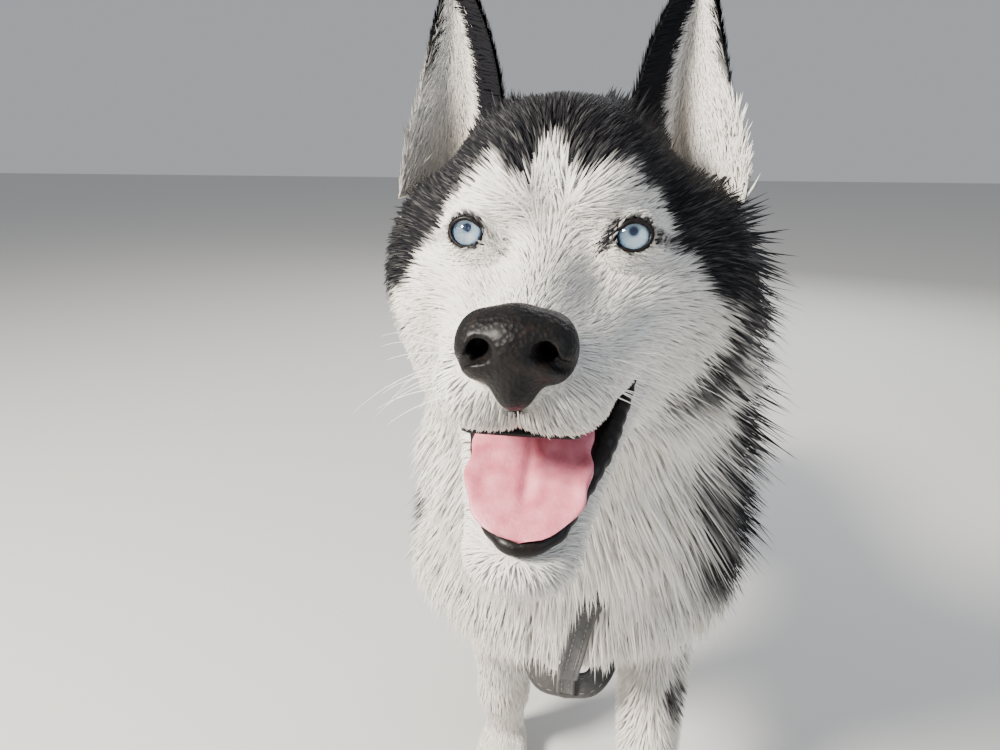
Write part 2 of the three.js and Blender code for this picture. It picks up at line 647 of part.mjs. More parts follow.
// A row of locks, rooted where rays from a centre meet the surface
const lockRow = (field, centre, rays, lie, size) => {
  const roots = rays.map((ray) => {
    const outward = unit(ray);
    let reach = 0;
    while (reach < 400 && field(add(centre, times(outward, reach))) < 0) reach += 2;
    return toLevel(bodyField, add(centre, times(outward, reach)), 0, 4);
  });
  return roots.map((root, i) => {
    const next = roots[i + 1] ?? roots[i - 1];
    const width = vary(0.88, 0.08) * length(sub(root, next));
    const [long, rise] = [vary(size.long, 0.14), vary(size.rise, 0.15)];
    return lockPath(root, lie, { ...size, width, long, rise });
  });
};
const fan = (from, to, count, shift = 0) =>
  Array.from({ length: count }, (_, i) => radians(mix(from, to, (i + 0.5 + shift) / count)));

// Cheek ruff: two rows behind each cheek, which lie back, down and outward
const cheekLocks = (side) => {
  const lie = () => headDirection([0.5 * side, 0.9, -0.55]);
  const rows = [
    { centre: [14, 38, -14], from: 40, to: -66, count: 4, long: 56 },
    { centre: [14, 66, -14], from: 46, to: -66, count: 4, long: 60 },
  ];
  return rows.flatMap(({ centre: [x, y, z], from, to, count, long }) => {
    const rays = fan(from, to, count).map((a) => headDirection([side * Math.cos(a), 0.12, Math.sin(a)]));
    return lockRow(headField, headToWorld([side * x, y, z]), rays, lie, { long, thick: 6, rise: 20 });
  });
};

// Neck ruff: rows round the neck that lie down it, longest at the throat and shortest at the nape
const NECK_AXIS = unit(sub(NECK_BASE, NECK_TOP));
const NECK_BACK = unit(cross([1, 0, 0], NECK_AXIS)); // towards the nape
const neckRays = (from, to, count, shift) =>
  fan(from, to, count, shift).map((a) => add([Math.sin(a), 0, 0], times(NECK_BACK, Math.cos(a))));
const neckLie = () => add(times(NECK_AXIS, 1), [0, 0, -0.35]);
const NECK_LOCK = { long: 92, thick: 7, rise: 26 };
const neckLocks = [
  { at: 0.14, from: 58, to: 302, count: 7 },
  { at: 0.46, from: 36, to: 324, count: 8 },
  { at: 0.8, from: 54, to: 306, count: 7 },
].flatMap(({ at: t, from, to, count }, row) => {
  const rays = neckRays(from, to, count, (row % 2) * 0.4 - 0.2);
  return lockRow(neckField, mixPoint(NECK_TOP, NECK_BASE, t), rays, neckLie, NECK_LOCK);
});

// Chest: rows across the forechest, which lie down it
const chestLie = () => [0, 0.35, -1];
const chestLocks = [
  { z: 478, count: 5, spread: 78 },
  { z: 428, count: 3, spread: 52 },
].flatMap(({ z, count, spread }) => {
  const rays = fan(-spread, spread, count).map((a) => [Math.sin(a), -Math.cos(a), 0]);
  return lockRow(torsoField, [0, -96, z], rays, chestLie, { long: 76, thick: 7, rise: 20 });
});

// Breeches: a row down the back of each thigh
const breechLocks = (name) => {
  const { side, top } = LEGS[name];
  const lie = () => [0.1 * side, 0.5, -1];
  const rays = fan(-52, 78, 4).map((a) => [side * Math.sin(a), Math.cos(a), 0]);
  return lockRow(legFields[name], [side * 58, top[1] + 66, 396], rays, lie, { long: 92, thick: 6, rise: 26 });
};

// Tail brush: rings of locks down its length, and a tuft at the end
const tailCurve = new THREE.CatmullRomCurve3(TAIL_PATH.map((p) => new THREE.Vector3(...p)));
const tailLie = (p) => {
  const places = Array.from({ length: 21 }, (_, i) => i / 20);
  const distance = (t) => length(sub(tailCurve.getPointAt(t).toArray(), p));
  const nearest = places.reduce((best, t) => (distance(t) < distance(best) ? t : best));
  return tailCurve.getTangentAt(nearest).toArray();
};
const tailLocks = [0.24, 0.47, 0.69, 0.9].flatMap((t, row) => {
  const along = tailCurve.getTangentAt(t).toArray();
  const across = unit(cross(along, [1, 0, 0]));
  const sideways = cross(across, along);
  const count = t < 0.6 ? 5 : 4;
  const rays = fan(0, 360, count, (row % 2) * 0.5).map((a) =>
    add(times(across, Math.cos(a)), times(sideways, Math.sin(a))),
  );
  const rise = mix(16, 24, Math.sin(Math.PI * t));
  return lockRow(tailField, tailCurve.getPointAt(t).toArray(), rays, tailLie, { long: 112, thick: 7, rise });
});

// Materials
const material = (color, roughness = 0.9) => new THREE.MeshStandardMaterial({ color, roughness });
const MATERIALS = {
  white: material(0xe9e4dc),
  black: material(0x1d1d20),
  nose: material(0x141315, 0.45),
  tongue: material(0xd9848f, 0.45),
  eye: material(0xa9cbe6, 0.08),
  webbing: material(0x5f5d5b, 0.85),
};
const husky = new THREE.Group();
// Where a solid only touches itself, two vertices share a place. Each is moved slightly towards its neighbours.
const partTouching = (vertices, triangles) => {
  const seen = new Map();
  const shared = new Set();
  const place = (v) => [0, 1, 2].map((axis) => vertices[3 * v + axis].toFixed(3)).join();
  for (let v = 0; v < vertices.length / 3; v++) {
    const key = place(v);
    if (seen.has(key)) shared.add(v).add(seen.get(key));
    seen.set(key, v);
  }
  for (const v of shared) {
    const point = (index) => Array.from(vertices.slice(3 * index, 3 * index + 3));
    let pull = [0, 0, 0];
    for (let t = 0; t < triangles.length; t += 3) {
      const corners = Array.from(triangles.slice(t, t + 3));
      if (!corners.includes(v)) continue;
      for (const other of corners) pull = add(pull, sub(point(other), point(v)));
    }
    vertices.set(add(point(v), times(unit(pull), TOUCH_STEP)), 3 * v);
  }
};
const node = (name, shape, look) => {
  const { vertProperties, triVerts } = largest(shape).getMesh();
  partTouching(vertProperties, triVerts);
  const geometry = new THREE.BufferGeometry();
  geometry.setAttribute("position", new THREE.BufferAttribute(new Float32Array(vertProperties), 3));
  geometry.setIndex(new THREE.BufferAttribute(new Uint32Array(triVerts), 1));
  geometry.computeVertexNormals();
  const mesh = new THREE.Mesh(geometry, MATERIALS[look]);
  mesh.name = name;
  husky.add(mesh);
};

// Harness
const GIRTH = [
  [0, -64, 296],
  [30, -6, 300],
  [46, 46, 312],
  [74, 70, 330],
  [106, 76, 372],
  [112, 70, 440],
  [104, 60, 520],
  [52, 48, 572],
  [0, 44, 582],
];
const girthRoute = [...GIRTH, ...GIRTH.slice(1, -1).reverse().map(mirrorX)];
const CHEST_STRAP = [
  [0, -176, 467],
  [0, -196, 430],
  [0, -178, 370],
  [0, -130, 325],
  [0, -80, 300],
];
const YOKE = [
  [10, -184, 483],
  [60, -160, 530],
  [92, -100, 560],
  [76, -50, 592],
  [30, -14, 600],
];
const BACK_STRAP = [
  [0, -14, 590],
  [0, 4, 586],
  [0, 24, 584],
];
const straps = (grow) => ({
  harness_girth: strap(girthRoute, { closed: true, steps: 28, grow }),
  harness_chest: strap(CHEST_STRAP, { steps: 8, grow, width: 20 }),
  harness_yoke_left: strap(YOKE, { steps: 8, grow, width: 20 }),
  harness_yoke_right: strap(YOKE.map(mirrorX), { steps: 8, grow, width: 20 }),
  harness_back: strap(BACK_STRAP, { steps: 4, grow, width: 26 }),
});
const strapSolids = straps(0);
const strapClear = straps(GAP);

// Head and what it carries
const FACE_STEP = 9;
const SKULL_STEP = 15;
const NAPE_STEP = 22;
const [, eyeY, eyeZ] = EYE_MID;
const [headBack, headTop] = [eyeY + 140, eyeZ + 92];
const HEAD_GRID = [
  sideLines(130, 46, FACE_STEP, SKULL_STEP),
  gridLines(eyeY - 106, headBack, [eyeY + 6, FACE_STEP], [eyeY + 60, SKULL_STEP], [headBack, NAPE_STEP]),
  gridLines(eyeZ - 142, headTop, [eyeZ - 64, SKULL_STEP], [eyeZ + 24, FACE_STEP], [headTop, SKULL_STEP]),
];
const eyes = { left: eyeParts(1), right: eyeParts(-1) };
const tongueClear = tongueSolid(GAP);
const noseClear = meshField(inHead(noseBody), NOSE_GRID, GAP);
const wholeHead = meshField(bodyField, HEAD_GRID);
const headClear = meshField(bodyField, HEAD_GRID, GAP + 0.1);
const headCore = without(
  wholeHead.intersect(beforePlane(HEAD_PLANE)),
  openMouth,
  tongueClear,
  noseClear,
  ...Object.values(eyes).flatMap(({ socket, opening }) => [socket, opening]),
);
const cheeks = [...cheekLocks(1), ...cheekLocks(-1)];
const jawCore = wholeHead.intersect(beforePlane(HEAD_PLANE)).intersect(jawRegion);
const jaw = largest(without(withAll(jawCore, lipBead(LOWER_LIP_PATH, 3)), tongueClear, headCore));
const earSolids = { left: without(earSolid(1), headClear), right: without(earSolid(-1), headClear) };
node("head", without(withAll(headCore, ...lockSolids(cheeks)), openMouth), "black");
node("jaw", without(jaw, ...lockSolids(cheeks, LOCK_CLEAR)), "white");
node("tongue", tongueSolid(0), "tongue");
node("nose", meshField(inHead(noseShape), NOSE_GRID), "nose");
for (const name of ["left", "right"]) {
  node(`eye_${name}`, solidOf(eyes[name].eye), "eye");
  node(`ear_${name}`, without(earSolids[name], ...lockSolids(cheeks, LOCK_CLEAR)), "black");
}

// Neck, torso, legs and tail
const NECK_GRID = [sideLines(160, 160, 32, 32), evenLines(-350, -10, 32), evenLines(380, 810, 32)];
const neckCore = meshField(bodyField, NECK_GRID)
  .intersect(afterPlane(HEAD_PLANE))
  .intersect(beforePlane(NECK_PLANE));
const neck = withAll(neckCore, ...lockSolidsAfter(HEAD_PLANE, neckLocks));
node("neck", without(neck, ...lockSolids(cheeks, LOCK_CLEAR), ...Object.values(strapClear)), "black");

const TORSO_GRID = [
  sideLines(200, 200, 39, 39),
  gridLines(-310, 540, [360, 62], [540, 31]),
  evenLines(232, 700, 37),
];
const legBlocks = [1, -1].flatMap((side) => [forelegBlock(side, HALF_GAP), hindlegBlock(side, HALF_GAP)]);
const tailBlock = boxBetween([-ROOM, TAIL_ROOT - HALF_GAP, -ROOM], [ROOM, ROOM, ROOM]);
const torsoCore = without(
  meshField(bodyField, TORSO_GRID).intersect(afterPlane(NECK_PLANE)),
  ...legBlocks,
  tailBlock,
);
const breeches = {
  hindleg_left: breechLocks("hindleg_left"),
  hindleg_right: breechLocks("hindleg_right"),
};
const overTorso = [...neckLocks, ...Object.values(breeches).flat(), ...tailLocks];
const torso = withAll(torsoCore, ...lockSolidsAfter(NECK_PLANE, chestLocks));
node("torso", without(torso, ...lockSolids(overTorso, LOCK_CLEAR), ...Object.values(strapClear)), "black");

const LEG_STEP = { foreleg: 17, hindleg: 22, paw: 12, pastern: 26, thigh: 42 };

for (const [name, leg] of Object.entries(LEGS)) {
  const fore = name.startsWith("fore");
  const [topY, pawY] = [leg.top[1], leg.paw[1]];
  const low = Math.min(pawY - 60, topY - 70);
  const grid = [
    sideLines(160, 160, LEG_STEP.foreleg, LEG_STEP.foreleg).filter((x) => x * leg.side > -LEG_STEP.foreleg),
    fore
      ? evenLines(low, Math.max(pawY + 60, topY + 80), LEG_STEP.foreleg)
      : evenLines(low - 50, topY + 190, LEG_STEP.hindleg),
    gridLines(-12, fore ? 390 : 490, [44, LEG_STEP.paw], [100, LEG_STEP.pastern], [490, LEG_STEP.thigh]),
  ];
  const block = fore ? forelegBlock(leg.side, -HALF_GAP) : hindlegBlock(leg.side, -HALF_GAP);
  const bare = withAll(meshField(bodyField, grid).intersect(block), ...claws(leg)).intersect(aboveFloor);
  const whole = fore
    ? without(bare, ...lockSolids(chestLocks, LOCK_CLEAR), ...Object.values(strapClear))
    : withAll(bare, ...lockSolids(breeches[name]));
  node(name, whole, "white");
}
const TAIL_GRID = [sideLines(80, 80, 21, 21), evenLines(430, 670, 21), evenLines(150, 600, 32)];
const behindRoot = boxBetween([-ROOM, TAIL_ROOT + HALF_GAP, -ROOM], [ROOM, ROOM, ROOM]);
const tailAndTorso = (p) => smin(torsoField(p), tailField(p), 14);
const tailCore = meshField(tailAndTorso, TAIL_GRID).intersect(behindRoot);
node("tail", withAll(tailCore, ...lockSolids(tailLocks)), "black");

for (const [name, shape] of Object.entries(strapSolids)) node(name, shape, "webbing");

// The origin is the middle of the bounding box's bottom
const bounds = new THREE.Box3().setFromObject(husky);
const middle = bounds.getCenter(new THREE.Vector3());
husky.position.set(-middle.x, -middle.y, -bounds.min.z);
husky.updateMatrixWorld(true);
export default husky;
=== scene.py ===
"""The looks of a Siberian husky, as a still, life-size model: one skin with its coat, eyes, nose, tongue,
lips, claws, whiskers and harness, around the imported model. Everything is worked out in the part's own frame,
in millimetres with the dog facing -Y, and placed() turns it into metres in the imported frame."""

import bpy
import numpy as np
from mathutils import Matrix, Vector


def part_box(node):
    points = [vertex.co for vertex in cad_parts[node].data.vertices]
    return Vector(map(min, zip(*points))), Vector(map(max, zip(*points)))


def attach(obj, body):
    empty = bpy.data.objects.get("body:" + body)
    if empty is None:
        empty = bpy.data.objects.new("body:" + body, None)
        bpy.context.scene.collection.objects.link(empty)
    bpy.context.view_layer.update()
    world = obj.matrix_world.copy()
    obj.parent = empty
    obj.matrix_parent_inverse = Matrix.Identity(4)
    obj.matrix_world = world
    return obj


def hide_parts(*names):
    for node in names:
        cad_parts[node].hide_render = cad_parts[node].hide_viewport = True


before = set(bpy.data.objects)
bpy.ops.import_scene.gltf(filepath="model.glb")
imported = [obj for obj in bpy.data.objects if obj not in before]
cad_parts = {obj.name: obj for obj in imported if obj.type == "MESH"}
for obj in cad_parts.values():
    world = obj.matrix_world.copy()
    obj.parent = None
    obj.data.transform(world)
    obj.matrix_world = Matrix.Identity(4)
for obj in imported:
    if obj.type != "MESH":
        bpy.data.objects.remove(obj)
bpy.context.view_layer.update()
rng = np.random.default_rng(7)

# Driving dimensions, as in the part's source
EYE_MID = np.array([0.0, -354.0, 737.0])
HEAD_PITCH = np.radians(10)
EYEBALL_R = 11


def unit(v):
    """Columns of v at length 1."""
    return v / np.maximum(length(v), 1e-9)


def column(*values):
    return np.array(values, float)[:, None]


def rows(*values):
    """Numbers, and rows of numbers, as the rows of one array."""
    return np.array(np.broadcast_arrays(*values), float)


def length(p):
    """Length of each column of p."""
    return np.sqrt((p * p).sum(0))


def to_world(p):
    """Head frame to part frame. The head is pitched up about X and its origin is midway between the eyes."""
    x, y, z = p
    c, s = np.cos(HEAD_PITCH), np.sin(HEAD_PITCH)
    return np.array([EYE_MID[0] + x, EYE_MID[1] + y * c + z * s, EYE_MID[2] + z * c - y * s])


def to_head(p):
    """Part frame to head frame."""
    x, y, z = p[0] - EYE_MID[0], p[1] - EYE_MID[1], p[2] - EYE_MID[2]
    c, s = np.cos(HEAD_PITCH), np.sin(HEAD_PITCH)
    return np.array([x, y * c - z * s, z * c + y * s])


# Forms are functions that give the distance to a surface, negative inside it, at columns of points
def ball(centre, radii):
    """An ellipsoid."""
    c, r = column(*centre), column(*radii)

    def distance(p):
        q = (p - c) / r
        share = length(q)
        return share * (share - 1) / np.maximum(length(q / r), 1e-9)

    return distance


def limb(a, b, radius_a, radius_b, wide=1.0):
    """A rod with round ends, its radius running from a's to b's, that many times as wide across x."""
    a, b = column(*a), column(*b)
    along = b - a
    squared = (along * along).sum()
    squeeze = column(1 / wide, 1, 1)

    def distance(p):
        from_a = p - a
        t = np.clip((from_a * along).sum(0) / squared, 0, 1)
        return length((from_a - along * t) * squeeze) - (radius_a + (radius_b - radius_a) * t)

    return distance


def smin(a, b, k):
    """The smaller of two distances, blended over k where they meet."""
    h = np.maximum(k - np.abs(a - b), 0) / k
    return np.minimum(a, b) - h * h * k / 4


def smax(a, b, k):
    return -smin(-a, -b, k)


def joined(forms, k):
    """Forms blended into one, over k where they meet."""

    def distance(p):
        d = forms[0](p)
        for form in forms[1:]:
            d = smin(d, form(p), k)
        return d

    return distance


def mirrored(field):
    """A form made for +x, on both sides."""
    return lambda p: field(np.array([np.abs(p[0]), p[1], p[2]]))


# Head, in its own frame
skull_field = joined(
    [
        ball([0, 56, 20], [56, 62, 51]),
        ball([20, 10, 20], [19, 20, 18]),
        ball([37, 42, -20], [32, 42, 34]),
        ball([0, 52, -42], [52, 50, 46]),
    ],
    17,
)
cheek_core = ball([50, 62, -12], [38, 36, 46])
muzzle_field = joined(
    [
        limb([0, 4, -16], [0, -78, -41], 18, 14),
        limb([24, 2, -41], [14, -66, -50], 24, 17),
        ball([11, -75, -52], [16, 15, 14.5]),
    ],
    14,
)
orbit = ball([32.5, 5, 0], [15.5, 13, 13])
jaw_field = joined(
    [
        limb([0, 22, -82], [0, -54, -118], 24, 14, 1.1),
        limb([25, 16, -70], [12, -52, -112], 18, 11),
        ball([0, -63, -118], [19, 14, 12]),
    ],
    14,
)


@mirrored
def head_local(p):
    """The head's form, in its own frame."""
    skull = smin(skull_field(p), cheek_core(p), 12)
    face = smin(smin(skull, muzzle_field(p), 17), orbit(p), 6)
    return smin(face, jaw_field(p), 10)


def head_field(p):
    return head_local(to_head(p))


NECK_TOP = to_world([0, 96, -30])
NECK_BASE = np.array([0.0, -100, 520])
neck_field = mirrored(
    joined(
        [
            limb(NECK_TOP, NECK_BASE, 82, 108),
            ball(to_world([0, 104, -38]), [92, 54, 80]),
            ball([0, -186, 548], [94, 66, 84]),
        ],
        26,
    )
)
torso_field = mirrored(
    joined(
        [
            ball([0, -16, 440], [112, 168, 139]),
            ball([0, 140, 454], [104, 200, 116]),
            ball([0, 335, 478], [90, 126, 88]),
            ball([0, -122, 440], [92, 80, 104]),
            limb([58, -24, 520], [82, -92, 426], 54, 52),
            limb([82, -92, 426], [86, -8, 336], 51, 44),
        ],
        40,
    )
)

# Legs: name, side, top, joint and paw. x counts outward from the middle.
LEGS = {
    "foreleg_left": (1, [84, -18, 326], [82, -84, 130], [80, -112]),
    "foreleg_right": (-1, [84, 6, 322], [86, 62, 120], [88, 74]),
    "hindleg_left": (1, [82, 312, 308], [84, 446, 172], [86, 398]),
    "hindleg_right": (-1, [82, 286, 308], [82, 402, 172], [84, 352]),
}
TOES = (-1.5, -0.5, 0.5, 1.5)
PAW = dict(height=24, width=31, depth=38, radius=13.5, spacing=13.5, reach=33, fall=4.5)


def toe_reach(toe):
    """How far forward of the paw's middle a toe reaches: less for the outer toes."""
    return PAW["reach"] - PAW["fall"] * toe * toe


def paw_form(paw, k=5):
    """A paw with four toes."""
    x, y = paw
    forms = [ball([x, y, PAW["height"] - 2], [PAW["width"], PAW["depth"], PAW["height"]])]
    for toe in TOES:
        at = x + toe * PAW["spacing"]
        forms.append(limb([at, y - 8, 28], [at + toe, y - toe_reach(toe), 12], 12, PAW["radius"]))
    return joined(forms, k)


def leg_field(name):
    """A leg's form, from the trunk down to the paw."""
    side, top, joint, paw = LEGS[name]
    top, joint = np.array(top, float), np.array(joint, float)
    if name.startswith("fore"):
        forms = [
            limb(top, joint, 45, 29),
            limb(top + [0, 22, -6], top + [0, 2, -90], 26, 18),
            limb(joint, [paw[0], paw[1] + 14, 40], 29, 25),
        ]
    else:
        forms = [
            limb([64, top[1] + 66, 440], top, 68, 46, 0.78),
            ball([60, top[1] + 70, 404], [45, 78, 82]),
            limb(top, joint, 48, 25),
            limb(joint + [0, 6, 8], [paw[0], paw[1] + 16, 40], 25, 23),
        ]
    shank, foot = joined(forms, 24), paw_form(paw)

    def distance(p):
        q = np.array([p[0] * side, p[1], p[2]])
        return smin(shank(q), foot(q), 12)

    return distance


TAIL_PATH = np.array(
    [[0, 436, 524], [6, 500, 494], [14, 546, 428], [20, 566, 350], [20, 574, 270], [14, 598, 205]], float
)
TAIL_RADII = [23, 26, 31, 31, 26, 11]
tail_field = joined(
    [
        limb(a, b, ra, rb)
        for a, b, ra, rb in zip(TAIL_PATH, TAIL_PATH[1:], TAIL_RADII, TAIL_RADII[1:])
    ],
    18,
)

# Regions of the body: name, form, centre and radius of a ball that holds it, and blend with those before it
REGIONS = [
    ("head", head_field, to_world([0, 20, -10]), 190, 34),
    ("neck", neck_field, (NECK_TOP + NECK_BASE) / 2, 250, 34),
    ("torso", torso_field, np.array([0, 130, 450]), 360, 46),
]
for name, (side, top, joint, paw) in LEGS.items():
    fillet = 18 if name.startswith("fore") else 30
    REGIONS.append((name, leg_field(name), np.array([side * 80, top[1] + 30, 240]), 290, fillet))
REGIONS.append(("tail", tail_field, np.array([10, 530, 370]), 230, 14))


def body_field(p):
    """The whole body's outer form. A region is only read near it."""
    d = np.full(p.shape[1], 1e3)
    for _, field, centre, reach, fillet in REGIONS:
        away = length(p - centre[:, None]) - reach
        near = away <= d + fillet
        if near.any():
            d[near] = smin(d[near], field(p[:, near]), fillet)
    return d


def gradient(field, p, e=0.6):
    """Unit gradient of a field at each column of p."""
    steps = []
    for axis in range(3):
        shift = np.zeros((3, 1))
        shift[axis] = e
        steps.append(field(p + shift) - field(p - shift))
    return unit(np.array(steps))


def to_level(field, p, level=0.0, steps=3):
    """Moves columns of p to where the field has that level."""
    for _ in range(steps):
        p = p - gradient(field, p) * (0.9 * (field(p) - level))
    return p


def smooth(value, low, high):
    """0 below low, 1 above high, and a smooth step between them."""
    t = np.clip((value - low) / (high - low), 0, 1)
    return t * t * (3 - 2 * t)


def steps_between(stops):
    """Grid lines from stops of (place, spacing), where each spacing holds up to the next place."""
    lines = [stops[0][0]]
    for (_, spacing), (place, _) in zip(stops, stops[1:]):
        count = max(1, round((place - lines[-1]) / spacing))
        lines.extend(np.linspace(lines[-1], place, count + 1)[1:])
    return np.array(lines, float)


# Surface nets
COARSE = 16.0


def grid_values(field, lines):
    """The field on a grid. Far from the surface only its sign counts, so a coarse grid is read there."""
    coarse = [np.arange(line[0], line[-1] + COARSE, COARSE) for line in lines]
    rough_grid = np.meshgrid(*coarse, indexing="ij")
    rough = field(np.array([g.ravel() for g in rough_grid])).reshape(rough_grid[0].shape)
    nearest = [
        np.clip(np.rint((line - c[0]) / COARSE).astype(int), 0, len(c) - 1)
        for line, c in zip(lines, coarse)
    ]
    values = rough[np.ix_(*nearest)]
    near = np.nonzero(np.abs(values) < 2 * COARSE)
    values[near] = field(np.array([line[index] for line, index in zip(lines, near)]))
    for axis in range(3):
        border = [slice(None)] * 3
        border[axis] = [0, -1]
        values[tuple(border)] = 1.0
    return values


def net(field, lines, polish=3):
    """A quad mesh of the field's surface, as points (N, 3) and faces (M, 4) that turn outward."""
    values = grid_values(field, lines)
    inside = values < 0
    shape = np.array(values.shape) - 1
    cut = [slice(0, -1), slice(1, None)]
    corners = [(a, b, c) for a in (0, 1) for b in (0, 1) for c in (0, 1)]
    count = sum(inside[cut[a], cut[b], cut[c]].astype(np.int8) for a, b, c in corners)
    cells = np.array(np.nonzero((count > 0) & (count < 8)))
    total = np.zeros((3, cells.shape[1]))
    weight = np.zeros(cells.shape[1])

    def corner(offset):
        index = tuple(cells[axis] + offset[axis] for axis in range(3))
        return values[index], np.array([line[i] for line, i in zip(lines, index)])

    for a in corners:
        for axis in range(3):
            if a[axis]:
                continue
            b = tuple(1 if i == axis else v for i, v in enumerate(a))
            (va, pa), (vb, pb) = corner(a), corner(b)
            crossed = (va < 0) != (vb < 0)
            t = np.where(crossed, va / np.where(crossed, va - vb, 1), 0)
            total += np.where(crossed, pa + (pb - pa) * t, 0)
            weight += crossed
    points = total / weight
    size = np.array([np.diff(line)[i] for line, i in zip(lines, cells)]).min(0)
    for _ in range(polish):
        d = field(points)
        points = points - gradient(field, points) * np.clip(0.9 * d, -0.5 * size, 0.5 * size)
    number = np.full(tuple(shape), -1, np.int64)
    number[tuple(cells)] = np.arange(cells.shape[1])
    faces = []
    for axis in range(3):
        low = [slice(None)] * 3
        high = [slice(None)] * 3
        low[axis], high[axis] = slice(0, -1), slice(1, None)
        here = inside[tuple(low)]
        index = np.array(np.nonzero(here != inside[tuple(high)]))
        b, c = [(1, 2), (2, 0), (0, 1)][axis]
        ring = []
        for db, dc in ((0, 0), (1, 0), (1, 1), (0, 1)):
            at = index.copy()
            at[b] -= db
            at[c] -= dc
            ring.append(number[tuple(at)])
        quads = np.array(ring).T
        outward = here[tuple(index)]
        faces.append(np.where(outward[:, None], quads, quads[:, ::-1]))
    return points.T, np.concatenate(faces)


def biggest(points, faces):
    """Only the largest connected surface, so that no loose scrap is kept."""
    label = np.arange(len(points))
    while True:
        low = label[faces].min(1)
        new = label.copy()
        for column_index in range(faces.shape[1]):
            np.minimum.at(new, faces[:, column_index], low)
        new = new[new]
        if (new == label).all():
            break
        label = new
    winner = np.bincount(label).argmax()
    keep = label == winner
    number = np.cumsum(keep) - 1
    return points[keep], number[faces[keep[faces[:, 0]]]]


# The skin lies inside the coat's outer form by the coat's depth
MOUTH_CORNER = np.array([-11.0, -59.0])  # y, z in the head's frame
UPPER_LIP = np.array([-120.0, -71.0])
LOWER_LIP = np.array([-120.0, -138.5])


def below_line(p, a, b):
    """Distance from a line in the head's y-z plane that runs forward from a to b. Negative is below."""
    along = (b - a) / np.linalg.norm(b - a)
    return (p[1] - a[0]) * along[1] - (p[2] - a[1]) * along[0]


def mouth_opening(h):
    """Distance to the wedge between the lips, negative inside it, at points in the head's frame."""
    under_upper = below_line(h, MOUTH_CORNER, UPPER_LIP)
    over_lower = -below_line(h, MOUTH_CORNER, LOWER_LIP)
    return smax(under_upper, over_lower, 4)


EYE_CENTRE = [33.4, 5, 1.6]
EYE_YAW = np.radians(9)
EYE_SLANT = np.radians(9)
LID_THICK = 1.7
LID_COAT = 0.9
SOCKET_GAP = 0.25
lid_opening = ball([0, -8, 0], [7.7, 14, 6.4])  # in the eye's frame


def lid_frame(h):
    """Points of the head's frame in the frame of the eye on their side, its outer corner towards +x."""
    x, y, z = np.abs(h[0]) - EYE_CENTRE[0], h[1] - EYE_CENTRE[1], h[2] - EYE_CENTRE[2]
    c, s = np.cos(EYE_YAW), np.sin(EYE_YAW)
    x, y = x * c + y * s, y * c - x * s
    c, s = np.cos(EYE_SLANT), np.sin(EYE_SLANT)
    return np.array([x * c + z * s, y, z * c - x * s])


def outer_form(p):
    """The coat's outer form: the body's, swelling a little over the eyeballs for their lids."""
    d = body_field(p)
    h = to_head(p)
    near = (np.abs(h[1]) < 40) & (np.abs(h[2]) < 40) & (np.abs(h[0]) < 60)
    d[near] = smin(d[near], length(lid_frame(h[:, near])) - (EYEBALL_R + LID_THICK), 3)
    return d


def coat_depth(p, h):
    """Depth of the coat over the skin, at columns of p in the part's frame and of h in the head's."""
    front = smooth(-h[1], -70, 30)
    muzzle = smooth(-h[1], 20, 70)
    head = 5.0 - 1.2 * front - 1.6 * muzzle
    above = smooth(p[2], 60, 330)
    body = 2.0 + 2.5 * smooth(p[2], 40, 120) + 7.5 * above
    neck = smooth(p[1], -330, -250) * smooth(p[2], 380, 450)
    tail = smooth(p[1], 470, 500)
    body = body + (5.5 - body) * tail
    on_head = smooth(-h[1], -115, -60) * smooth(p[2], 600, 640)
    body = body + (8.0 - body) * neck * smooth(-p[1], 60, 160)
    depth = body + (head - body) * on_head
    off_eye = smooth(length(lid_frame(h)), 12, 26)
    return depth + (LID_COAT - depth) * (1 - off_eye)


def skin_field(p):
    """The outer form less the coat, with the mouth, the lids' openings and the eyes' sockets cut in."""
    h = to_head(p)
    d = outer_form(p) + coat_depth(p, h)
    near = np.abs(h).max(0) < 160
    h = h[:, near]
    eye = lid_frame(h)
    face = smax(d[near], -mouth_opening(h), 5)
    face = smax(face, -lid_opening(eye), 1.2)
    d[near] = smax(face, EYEBALL_R + SOCKET_GAP - length(eye), 0.6)
    return d


def half_and_mirror(stops):
    """Grid lines from stops on the +x side, and the same on the other side."""
    half = steps_between(stops)
    return np.concatenate([-half[:0:-1], half])


# Grid lines across x, y and z, closest round the eyes and the mouth
SKIN_LINES = [
    half_and_mirror([(0, 3), (16, 1.5), (48, 3.6), (108, 6.5), (165, 6.5)]),
    steps_between([(-480, 3.2), (-378, 1.5), (-336, 3.4), (-230, 6.5), (650, 6.5)]),
    steps_between([(-3, 3), (60, 6.5), (590, 3.3), (722, 1.5), (758, 3.3), (840, 3.3)]),
]


# From the part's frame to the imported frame
CAD_EYE = (30.5, 5, 0)


def node_middle(name):
    low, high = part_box(name)
    return np.array((low + high) / 2) * 1000


SHIFT = (node_middle("eye_left") + node_middle("eye_right")) / 2 - to_world([0, CAD_EYE[1], CAD_EYE[2]])


def placed(points):
    """Points (N, 3) of the part's frame in metres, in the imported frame."""
    return (np.asarray(points) + SHIFT) / 1000


